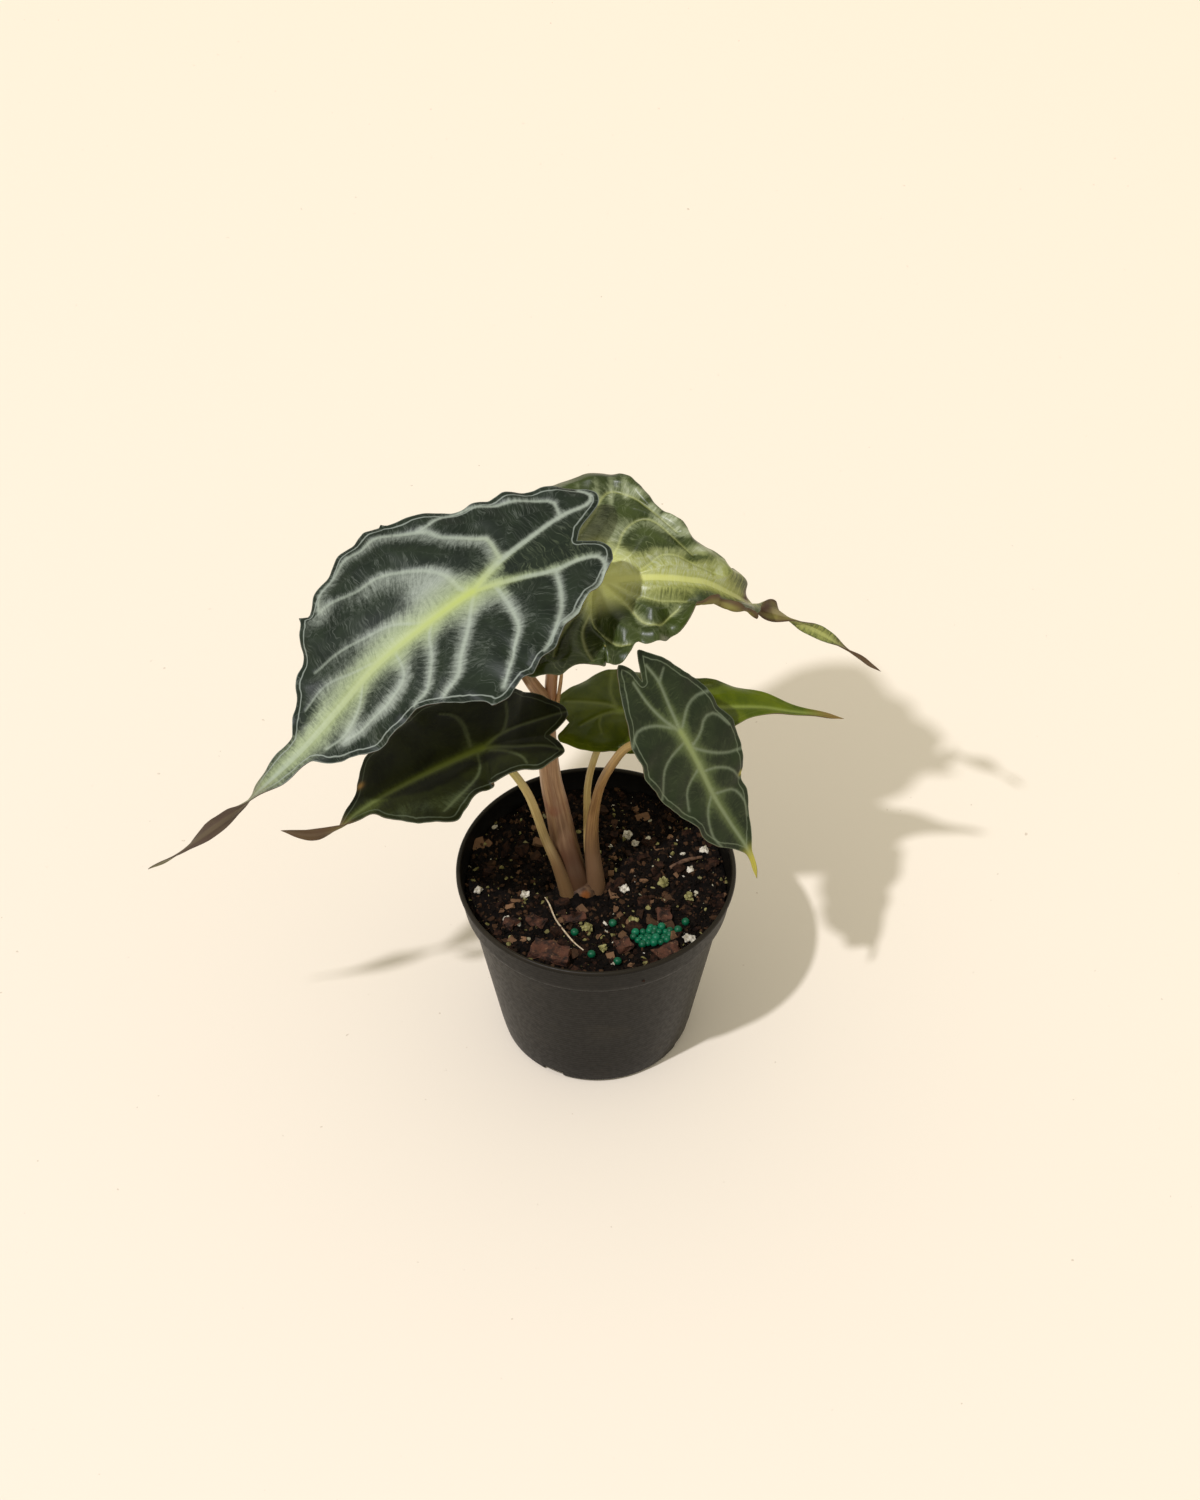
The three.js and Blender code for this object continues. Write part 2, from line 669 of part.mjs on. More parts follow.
// The blade as one thin closed solid, split into triangles alike on both faces
function leafSolid(leaf, thickness = bladeThickness) {
  const surface = leafSurface(leaf);
  const points = [];
  const keys = new Map();
  const faces = [];
  for (const half of [leaf.left, leaf.right]) {
    const name = half === leaf.left ? "left" : "right";
    const rows = halfRows(leaf, half);
    const [lobeRows] = leaf.rows;
    const index = rows.map((row, i) =>
      row.map(([along, across, share], k) => {
        const onMidrib = k === 0 && i >= lobeRows;
        const atTip = i === rows.length - 1;
        const atLobe = i === 0;
        const key = atTip ? "tip" : onMidrib ? `mid ${i}` : atLobe ? `${name} lobe` : `${name} ${i} ${k}`;
        if (!keys.has(key)) {
          const relief = leafRelief(leaf, along, across, share);
          keys.set(key, points.push(surface(along, onMidrib ? 0 : across, relief)) - 1);
        }
        return keys.get(key);
      }),
    );
    for (let i = 0; i < rows.length - 1; i += 1)
      for (let k = 0; k < leaf.columns; k += 1) {
        const quad = [index[i][k], index[i + 1][k], index[i + 1][k + 1], index[i][k + 1]];
        if (name === "right") quad.reverse();
        faces.push([quad[0], quad[1], quad[2]], [quad[0], quad[2], quad[3]]);
      }
  }
  const skin = faces.filter(([a, b, c]) => a !== b && b !== c && c !== a);
  return thicken(points, skin, thickness);
}

// A closed sheet of the given thickness round an open skin
function thicken(points, skin, thickness) {
  const normals = points.map(() => new THREE.Vector3());
  const edges = new Set();
  for (const [a, b, c] of skin) {
    const ab = points[b].clone().sub(points[a]);
    const ac = points[c].clone().sub(points[a]);
    const normal = ab.cross(ac);
    for (const corner of [a, b, c]) normals[corner].add(normal);
    for (const pair of [[a, b], [b, c], [c, a]]) edges.add(pair.join(" "));
  }
  const shift = (direction) =>
    points.map((p, i) => p.clone().addScaledVector(normals[i].clone().normalize(), direction).toArray());
  const solidPoints = [...shift(thickness / 2), ...shift(-thickness / 2)];
  const below = points.length;
  const faces = [];
  for (const [a, b, c] of skin) faces.push([a, b, c], [c + below, b + below, a + below]);
  for (const edge of edges) {
    const [a, b] = edge.split(" ").map(Number);
    if (edges.has(`${b} ${a}`)) continue;
    faces.push([b, a, a + below], [b, a + below, b + below]);
  }
  return solidFromFaces(solidPoints, faces);
}

// What lies on the soil: [x, y, length, width, height, turn] for bark, and [x, y, width] for the rest
const barkChips = [
  [-18.4, -39.2, 17, 9, 4, -20],
  [11, -35.2, 7.5, 6.5, 3, 25],
  [-8.5, -20.5, 10, 5, 2.6, 15],
  [-24, -22, 8, 5.5, 2.5, -30],
  [28.5, -38.6, 11, 6, 2.6, 30],
  [27.5, -18, 6, 8, 2.8, 5],
  [-34, -23, 7, 5, 2.5, 50],
];
const perliteGrains = [
  [-3.6, -26, 6],
  [11.4, -5, 5],
  [2.8, -36.1, 4.5],
  [15.4, -21.9, 4.5],
  [13.2, 25.5, 5],
  [16.1, 21, 4.2],
  [27.7, -1.7, 6],
  [37.8, -8.8, 5],
  [-28.9, -8.8, 4.5],
  [44.5, 17.7, 4.5],
  [38.5, 6, 4.2],
  [-48, -6.1, 4],
  [37.7, -30.8, 6],
];
const prillSingles = [
  [6.7, -23.5],
  [-8.6, -28.7],
  [-1.8, -40.1],
  [8.6, -42.4],
  [36.1, -23.1],
  [33, -27],
];
const prillHeap = { centre: [22.5, -29.7], length: 12.5, width: 10, pitch: 2.65, turn: 12 };

const soilSeat = soilBlock(gap, 60);
const settle = (solid) => largest(solid.subtract(soilSeat));

// A chip of bark: a flat block with uneven corners
function barkChip([x, y, length, width, height, turn], draw) {
  const box = new THREE.BoxGeometry(length, width, height);
  const corners = mergeVertices(new THREE.BufferGeometry().setAttribute("position", box.attributes.position)
    .setIndex(box.index), 1e-4);
  const place = corners.attributes.position;
  for (let i = 0; i < place.count; i += 1)
    place.setXYZ(
      i,
      place.getX(i) * (0.78 + 0.3 * draw()),
      place.getY(i) * (0.78 + 0.3 * draw()),
      place.getZ(i) * (0.8 + 0.4 * draw()),
    );
  corners.rotateX(radians(10 * (draw() - 0.5))).rotateY(radians(10 * (draw() - 0.5)));
  corners.rotateZ(radians(turn)).translate(x, y, soilTop(x, y) + 0.5 * height - 0.4);
  return settle(solidFrom(corners));
}

// A grain of perlite: a rounded crumb with uneven corners
function perliteGrain([x, y, width], draw) {
  const crumb = mergeVertices(new THREE.BufferGeometry().setAttribute(
    "position",
    new THREE.IcosahedronGeometry(width / 2, 0).attributes.position,
  ), 1e-4);
  const place = crumb.attributes.position;
  for (let i = 0; i < place.count; i += 1) {
    const size = 0.85 + 0.25 * draw();
    place.setXYZ(i, place.getX(i) * size, place.getY(i) * size, place.getZ(i) * size * 0.85);
  }
  crumb.rotateZ(2 * Math.PI * draw()).translate(x, y, soilTop(x, y) + 0.25 * width);
  return settle(solidFrom(crumb));
}

const prillBall = (x, y, z) => solidFrom(new THREE.IcosahedronGeometry(prillRadius).translate(x, y, z));

// The spilled heap of fertiliser: close rows of prills, higher in the middle
function prillHeapSolid(draw) {
  const { centre, length, width, pitch, turn } = prillHeap;
  const [c, s] = [Math.cos(radians(turn)), Math.sin(radians(turn))];
  const balls = [];
  for (let row = 0, v = -width / 2; v <= width / 2; v += pitch * 0.87, row += 1)
    for (let u = -length / 2 + (row % 2) * 0.5 * pitch; u <= length / 2; u += pitch) {
      const out = Math.hypot(u / length, v / width) * 2;
      if (out > 1) continue;
      const x = centre[0] + u * c - v * s + 0.3 * (draw() - 0.5);
      const y = centre[1] + u * s + v * c + 0.3 * (draw() - 0.5);
      balls.push([x, y, soilTop(x, y) + prillRadius * (0.5 + 0.3 * (1 - out) * (row % 2))]);
    }
  const solid = balls.map(([x, y, z]) => prillBall(x, y, z)).reduce((all, ball) => all.add(ball));
  return settle(solid);
}

// Stalks and crown, each cut clear of the ones before it
addPiece("pot", geometryFrom(potSolid()), colours.pot, 0.6);

const grownStalks = [];
for (const [name, { rows, steps, sides, colour, carries }] of Object.entries(stalks)) {
  const cuts = [...grownStalks];
  if (carries) cuts.push(leafSolid(leaves[carries], bladeThickness + 2 * gap));
  const solid = cuts.reduce((rest, cut) => rest.subtract(cut), stalkSolid(rows, { steps, sides }));
  grownStalks.push(stalkSolid(rows, { steps, sides, grow: gap }));
  addPiece(name, geometryFrom(largest(solid)), colour, 0.5);
}

const crownBody = grownStalks.reduce((rest, stalk) => rest.subtract(stalk), crownSolid(0));
addPiece("crown", geometryFrom(largest(crownBody)), colours.crown, 0.7);

const soilCuts = [crownSolid(gap), ...grownStalks];
const soilBody = soilCuts.reduce((rest, cut) => rest.subtract(cut), soilBlock(0, pot.floor + gap));
addPiece("soil", geometryFrom(largest(soilBody)), colours.soil, 0.95);

for (const [name, leaf] of Object.entries(leaves))
  addPiece(name, geometryFrom(leafSolid(leaf)), leaf.colour, 0.45);

const draw = seededDraw(7);
barkChips.forEach((chip, i) =>
  addPiece(`bark_chip_${i + 1}`, geometryFrom(barkChip(chip, draw)), colours.bark, 0.9));
perliteGrains.forEach((grain, i) =>
  addPiece(`perlite_${i + 1}`, geometryFrom(perliteGrain(grain, draw)), colours.perlite, 0.9));
prillSingles.forEach(([x, y], i) =>
  addPiece(
    `prill_${i + 1}`,
    geometryFrom(settle(prillBall(x, y, soilTop(x, y) + 0.7 * prillRadius))),
    colours.prill,
    0.5,
  ));
addPiece("prill_heap", geometryFrom(prillHeapSolid(draw)), colours.prill, 0.5);

// A twig and a loose root fibre lie on the soil, as rows of [x, y, height over the soil, radius]
const loosePieces = {
  twig: {
    colour: colours.bark,
    rows: [[30.3, 7.7, 1.0, 0.8], [36.5, 10.5, 1.3, 0.8], [43.6, 13.8, 1.2, 0.6]],
  },
  root_fibre: {
    colour: colours.fibre,
    rows: [[-20.8, -8.8, 1.6, 0.4], [-18.5, -15, 2.2, 0.4], [-16, -21.5, 1.4, 0.4],
      [-11.2, -30.8, 2.4, 0.4], [-5, -37.5, 1.6, 0.4]],
  },
};
for (const [name, { rows, colour }] of Object.entries(loosePieces)) {
  const raised = rows.map(([x, y, height, radius]) => [x, y, soilTop(x, y) + height, radius]);
  addPiece(name, geometryFrom(settle(stalkSolid(raised, { steps: 10, sides: 6 }))), colour, 0.8);
}

export default group;
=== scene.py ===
import math
import random
import bmesh
import bpy
import numpy as np
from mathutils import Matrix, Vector, noise


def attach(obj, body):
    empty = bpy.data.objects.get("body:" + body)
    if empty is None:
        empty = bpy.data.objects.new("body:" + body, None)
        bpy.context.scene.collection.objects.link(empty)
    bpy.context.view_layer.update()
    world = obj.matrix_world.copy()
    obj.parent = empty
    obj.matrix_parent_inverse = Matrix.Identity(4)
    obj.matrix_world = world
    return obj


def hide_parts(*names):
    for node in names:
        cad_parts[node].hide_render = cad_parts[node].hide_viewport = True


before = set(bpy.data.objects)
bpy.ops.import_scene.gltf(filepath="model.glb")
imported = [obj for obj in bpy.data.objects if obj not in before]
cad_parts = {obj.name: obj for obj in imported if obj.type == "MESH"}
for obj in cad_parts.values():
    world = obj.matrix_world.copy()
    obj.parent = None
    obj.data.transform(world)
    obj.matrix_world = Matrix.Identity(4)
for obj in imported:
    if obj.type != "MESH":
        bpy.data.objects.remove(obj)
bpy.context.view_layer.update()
scene = bpy.context.scene
mm = 0.001


# one node of a tree, with its inputs wired or set; gives back one of its outputs
def addNode(tree, kind, links=None, output=0, **settings):
    node = tree.nodes.new(kind)
    for name, value in settings.items():
        setattr(node, name, value)
    for key, value in (links or {}).items():
        if isinstance(value, bpy.types.NodeSocket):
            tree.links.new(value, node.inputs[key])
        else:
            node.inputs[key].default_value = value
    return node.outputs[output] if node.outputs else None


def paint(red, green, blue):  # screen colour 0-255 to a linear one
    return tuple((v / 255 / 12.92) if v < 11 else ((v / 255 + 0.055) / 1.055) ** 2.4
                 for v in (red, green, blue)) + (1.0,)


def calc(tree, operation, *values):
    return addNode(tree, "ShaderNodeMath", dict(enumerate(values)), operation=operation)


def vectorCalc(tree, operation, links, output=0):
    return addNode(tree, "ShaderNodeVectorMath", links, output, operation=operation)


def combine(tree, *values):
    return addNode(tree, "ShaderNodeCombineXYZ", dict(enumerate(values)))


def between(tree, value, low, high, first=0.0, second=1.0):  # smooth step from first to second
    return addNode(tree, "ShaderNodeMapRange", {0: value, 1: low, 2: high, 3: first, 4: second},
                   interpolation_type="SMOOTHSTEP")


def tint(tree, share, first, second):  # a mix of two colours, each a socket or a screen colour
    first, second = (paint(*c) if isinstance(c, tuple) else c for c in (first, second))
    return addNode(tree, "ShaderNodeMix", {0: share, 6: first, 7: second}, 2, data_type="RGBA")


def layered(tree, colour, *layers):  # colours laid over each other, each by its share
    for share, over in layers:
        colour = tint(tree, share, colour, over)
    return colour


def grain(tree, where, scale, detail=3.0, rough=0.55, warp=0.0):
    return addNode(tree, "ShaderNodeTexNoise", {"Vector": where, "Scale": scale, "Detail": detail,
                                                "Roughness": rough, "Distortion": warp})


def stretch(tree, where, scale):
    return addNode(tree, "ShaderNodeMapping", {"Vector": where, "Scale": scale})


def field(tree, name, output="Fac"):  # an attribute of the mesh
    return addNode(tree, "ShaderNodeAttribute", None, output, attribute_name=name)


def newFinish(name, roughness, shine):
    material = bpy.data.materials.new(name)
    material.use_nodes = True
    tree = material.node_tree
    skin = tree.nodes["Principled BSDF"]
    skin.inputs["Roughness"].default_value = roughness
    skin.inputs["Specular IOR Level"].default_value = shine
    return material, tree, addNode(tree, "ShaderNodeTexCoord", output="Object")


# puts colour and relief into a finish
def finished(material, colour, height=None, depth=0.0, strength=0.0):
    tree = material.node_tree
    skin = tree.nodes["Principled BSDF"]
    tree.links.new(colour, skin.inputs["Base Color"])
    if height is not None:
        bump = addNode(tree, "ShaderNodeBump", {"Height": height, "Distance": depth, "Strength": strength})
        tree.links.new(bump, skin.inputs["Normal"])
    return material


def addObject(name, data):
    thing = bpy.data.objects.new(name, data)
    scene.collection.objects.link(thing)
    return thing


def addPiece(name, mesh, nodes, slot, finishes=()):
    piece = addObject(name, mesh)
    for finish in finishes:
        mesh.materials.append(finish)
    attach(piece, "root")
    if nodes:
        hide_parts(*nodes)
    return piece


def newMesh(name, points, faces=(), edges=()):
    mesh = bpy.data.meshes.new(name)
    mesh.from_pydata([tuple(p) for p in np.asarray(points, float) * mm], edges, faces, shade_flat=False)
    mesh.update()
    return mesh


def setField(mesh, name, values):
    values = np.asarray(values, np.float32)
    kind, slot = ("FLOAT_VECTOR", "vector") if values.ndim == 2 else ("FLOAT", "value")
    mesh.attributes.new(name, kind, "POINT").data.foreach_set(slot, values.ravel())


# smooth curve through rows of numbers at marks; it runs on straight past its ends
def smoothCurve(rows, marks):
    rows, marks = np.asarray(rows, float), np.asarray(marks, float)
    last = len(rows) - 1
    order = np.arange(last + 1)
    after, before = np.minimum(order + 1, last), np.maximum(order - 1, 0)
    slopes = (rows[after] - rows[before]) / (marks[after] - marks[before])[:, None]

    def at(distance):
        distance = np.asarray(distance, float)
        i = np.clip(np.searchsorted(marks, distance, "left") - 1, 0, last - 1)
        span = (marks[i + 1] - marks[i])[..., None]
        raw = (distance[..., None] - marks[i][..., None]) / span
        u = np.clip(raw, 0, 1)
        end = np.where(raw > 1, slopes[i + 1], slopes[i])
        return ((2 * u ** 3 - 3 * u ** 2 + 1) * rows[i] + (u ** 3 - 2 * u ** 2 + u) * span * slopes[i]
                + (3 * u ** 2 - 2 * u ** 3) * rows[i + 1] + (u ** 3 - u ** 2) * span * slopes[i + 1]
                + (raw - u) * span * end)

    return at


def runningLength(rows, numbers):
    steps = np.diff(np.asarray(rows, float)[:, :numbers], axis=0)
    return np.concatenate([[0], np.cumsum(np.hypot.reduce(steps, axis=1))])


def unit(vectors):
    return vectors / np.maximum(np.linalg.norm(vectors, axis=-1, keepdims=True), 1e-12)


def awayFrom(points, x, y):
    return np.hypot(points[:, 0] - x, points[:, 1] - y)


def bell(*distances):  # 1 in the middle, smoothly down to 0
    return np.exp(-sum(d ** 2 for d in distances))


# stage: floor (mm), lamp, sky and camera (m); the floor is darker near the lamp, which evens its light out
stage = {
    "floor": (240, 230, 213), "speck": (150, 120, 80), "floorHalf": 2000, "floorHeight": -0.8,
    "lampReach": 1.8, "lampShare": 0.7, "lampPlace": (-0.575, -0.715, 1.509), "lampRadius": 0.028,
    "lampPower": 84.0, "lampColour": (0.93, 0.92, 1.0), "sky": (0.657, 0.627, 0.543, 1.0),
    "skyStrength": 1.04, "cameraPlace": (0.0016, -0.8197, 0.9949), "cameraTilt": 44.4, "lens": 72.0,
    "sensor": 36.0,
}
scene.view_settings.view_transform = "Standard"
half = stage["floorHalf"]
corners = [(-half, -half), (half, -half), (half, half), (-half, half)]
floorMesh = newMesh("floor", [(x, y, stage["floorHeight"]) for x, y in corners], [(0, 1, 2, 3)])
floorFinish, tree, place = newFinish("pale floor", 0.9, 0.05)
away = vectorCalc(tree, "DISTANCE", {0: place, 1: stage["lampPlace"]}, 1)
near = calc(tree, "POWER", calc(tree, "DIVIDE", stage["lampReach"], away), 3.0)
even = calc(tree, "DIVIDE", 1 + stage["lampShare"],
            calc(tree, "MULTIPLY_ADD", near, stage["lampShare"], 1.0))
colour = vectorCalc(tree, "SCALE", {0: paint(*stage["floor"])[:3], "Scale": even})
specks = between(tree, grain(tree, place, 260.0, 2.0), 0.76, 0.8, 0.0, 0.35)
floorMesh.materials.append(finished(floorFinish, tint(tree, specks, colour, stage["speck"])))
addObject("floor", floorMesh)

lampData = bpy.data.lights.new("lamp", "POINT")
lampData.energy, lampData.shadow_soft_size = stage["lampPower"], stage["lampRadius"]
lampData.color = stage["lampColour"]
addObject("lamp", lampData).location = stage["lampPlace"]

world = bpy.data.worlds.new("studio")
world.use_nodes = True
sky = world.node_tree.nodes["Background"].inputs
sky[0].default_value, sky[1].default_value = stage["sky"], stage["skyStrength"]
scene.world = world

cameraData = bpy.data.cameras.new("camera")
cameraData.lens, cameraData.sensor_width = stage["lens"], stage["sensor"]
camera = addObject("camera", cameraData)
camera.location = stage["cameraPlace"]
camera.rotation_euler = (math.radians(stage["cameraTilt"]), 0, 0)
scene.camera = camera
print("stage set")

# Leaves, in mm and degrees. A blade is drawn flat first: along the midrib from the joint with its stalk,
# and across it, positive on the left half. Then it is bent onto its midline.
# midline: x, y, z, roll, lift, bend per cm. An uneven row has lift left and right, bend left and right,
#   and how far from the midrib the blade stays straight.
# left, right: outline from the notch between the lobes to the tip; turns: where each lobe turns forward.
# grid: rows along the lobes, rows along the blade, columns across each half.
# ripple: height and pitch of the wavy edge; frill: how far the edge wanders in and out.
# bulge and cell: height and width of the pillows between veins; channel: depth of the veins.
# teeth: x, y, push along and across, width; tail: where the tip dries out; spots: dry spots, x, y, radius.
# clouds: x, y, reach along and across, more or less silver.
# veins: half width at start and end, halo left and right, silver at start and end, glow at start and
#   end, then the lines that are drawn so.
leafA = {
    "midline": [(4, 20, 256, 8, 4, -2), (-21, 4, 254, 8, 6, -2), (-45, -8, 249, 8, 8, -3),
        (-61, -18, 243, 8, 8, -3), (-80, -28, 231, 8, 8, -3), (-94, -36, 217, 8, 8, -3),
        (-108, -46, 205, 4, 8, -3), (-126, -58, 193, -31, 6, 0), (-144, -59, 175, -125, 3, 0),
        (-157, -58, 161, -211, 3, 0), (-170, -57, 151, -265, 3, 0)],
    "left": [(-44, 0), (-47, 2), (-51, 5), (-52.5, 10), (-49, 15.5), (-41, 21), (-32, 26), (-24, 31),
        (-14, 39), (-2, 43.5), (11, 44), (18, 46.2), (24, 40), (34, 31), (44, 27.3), (58, 27), (68, 24),
        (77, 18), (84, 11.5), (87, 7), (94, 6.5), (104, 6), (112, 4), (124, 3.2), (136, 3), (147, 2),
        (156, 1.3), (164, 1.3), (172, 0)],
    "right": [(-44, 0), (-48.5, -4.5), (-55.5, -8), (-61, -11.5), (-62.5, -16), (-58, -21.5), (-48, -27),
        (-35, -32), (-22, -34), (-11, -35.3), (-1, -40.5), (7, -44.2), (11.5, -47), (17, -48), (28, -48.8),
        (36, -46.3), (45, -42), (53, -37.5), (55.5, -39), (58, -34), (64, -26), (72, -19), (80, -12),
        (85, -8), (87, -7), (95, -6.5), (104, -6), (112, -4), (124, -3.2), (136, -3), (147, -2),
        (156, -1.3), (164, -1.3), (172, 0)],
    "turns": (3, 4), "grid": (50, 232, 84), "ripple": (1.2, 15), "frill": 0.22, "bulge": 0.9, "cell": 6,
    "channel": 0.3, "tail": (98, 124), "spots": [],
    "teeth": [(9.8, -46.5, -0.4, -1.6, 0.8), (55, -38.5, 0.9, -1.4, 0.8), (19.6, 45.6, 0.6, 0.8, 1.4)],
    "clouds": [(16, -11, 9, 5, 0.45), (37, -7, 14, 8, 0.25), (31, -15, 5, 2.5, -0.4),
        (9, -25, 9, 3.5, -0.35), (39, -29, 9, 4, -0.35), (49, 17, 10, 6, 0.3), (70, 11, 9, 5, 0.35),
        (9, 25, 8, 7, 0.3), (-13, 20, 5, 8, 0.3), (28, 24, 9, 6, 0.25), (3, 17, 3, 5, -0.2),
        (58, -22, 7, 4, -0.3), (66, -8, 14, 6, 0.3), (84, 0, 12, 5, 0.15), (76, 9, 5, 2, -0.4),
        (78, -9, 6, 3, -0.5), (-30, -24, 9, 5, 0.12)],
    "veins": [
        ((1.5, 0.4, 10, 9, 0.95, 0.8, 1, 0), [(0, 0), (40, 0), (86, 0), (130, 0), (172, 0)]),
        ((1.0, 0.35, 2.2, 2.6, 0.85, 0.75, 0.9, 0), [(0, 0), (-14.8, -6.6), (-31.8, -10.6), (-46.3, -13),
         (-57, -12.8), (-60.2, -15.9), (-57.7, -20.4)]),
        ((0.9, 0.3, 3, 2.4, 0.85, 0.75, 0.9, 0), [(0, 0), (-17.9, 4.3), (-29.9, 7.8), (-39.4, 8.1),
         (-46.1, 10.8), (-46.1, 15.8), (-40.9, 21.1), (-30.2, 26.9), (-21.7, 31.8)]),
        ((0.5, 0.2, 6, 2.4, 0.85, 0.6, 0.2, 0), [(-14.8, -7.9), (-14.4, -17.7), (-10.7, -19.8),
         (-1.3, -27.2), (1, -32.3), (5.1, -36.2), (13, -41.7), (26.5, -44.4), (37.1, -43.1), (45.8, -38.6),
         (49, -35.2)]),
        ((0.4, 0.2, 2, 2.5, 0.6, 0.7, 0, 0), [(-45.2, -14.2), (-46.4, -20), (-42.4, -23.4), (-31.5, -28.1),
         (-16.7, -32.5), (-4.8, -35.5), (0.2, -34.4), (2.9, -34.5)]),
        ((0.6, 0.2, 12, 3.6, 0.9, 0.75, 0.3, 0), [(0, 0), (3.2, -2.9), (4, -9.5), (5.8, -14.1),
         (10.8, -19.8), (18.4, -25.2), (24.9, -28.3), (34.9, -30.1), (42.6, -32.6), (48.9, -34.4)]),
        ((0.25, 0.15, 5, 4, 0.6, 0.35, 0, 0), [(20, 0), (23.4, -2.4), (32, -8.7), (41.9, -11.8),
         (53, -15.6), (64, -17.6)]),
        ((0.12, 0.08, 4, 4, 0.35, 0.25, 0, 0), [(40.9, 0), (52.3, -4.6), (64, -10.4), (75.7, -9.8)]),
        ((0.6, 0.2, 3.4, 3.8, 0.9, 0.75, 0.3, 0), [(0, 0), (1.6, 2.7), (9.2, 11.5), (17.9, 20.3),
         (23.8, 28.1), (30.8, 30.1)]),
        ((0.6, 0.2, 3.4, 3.2, 0.9, 0.75, 0, 0), [(-8, 2.5), (-8.3, 6.7), (-8.4, 16.3), (-6.2, 26),
         (5.4, 35.1), (14.4, 41.2)]),
        ((0.4, 0.2, 2.6, 2.6, 0.8, 0.7, 0, 0), [(-29.8, 7.8), (-25.8, 20), (-19.8, 30.6), (-10.6, 38.8)]),
        ((0.35, 0.15, 3.2, 3.4, 0.85, 0.65, 0, 0), [(18, 0), (22.5, 5), (26.6, 14.1), (34, 23.4),
         (41.8, 26)]),
        ((0.3, 0.15, 5, 3.4, 0.85, 0.65, 0, 0), [(36.1, 0), (38.1, 11.9), (45.7, 15.9), (63.2, 14.8),
         (72.6, 12.2)]),
        ((0.3, 0.15, 3, 3, 0.8, 0.6, 0, 0), [(52, 0), (60, 7), (72, 10), (80, 8)]),
    ],
}
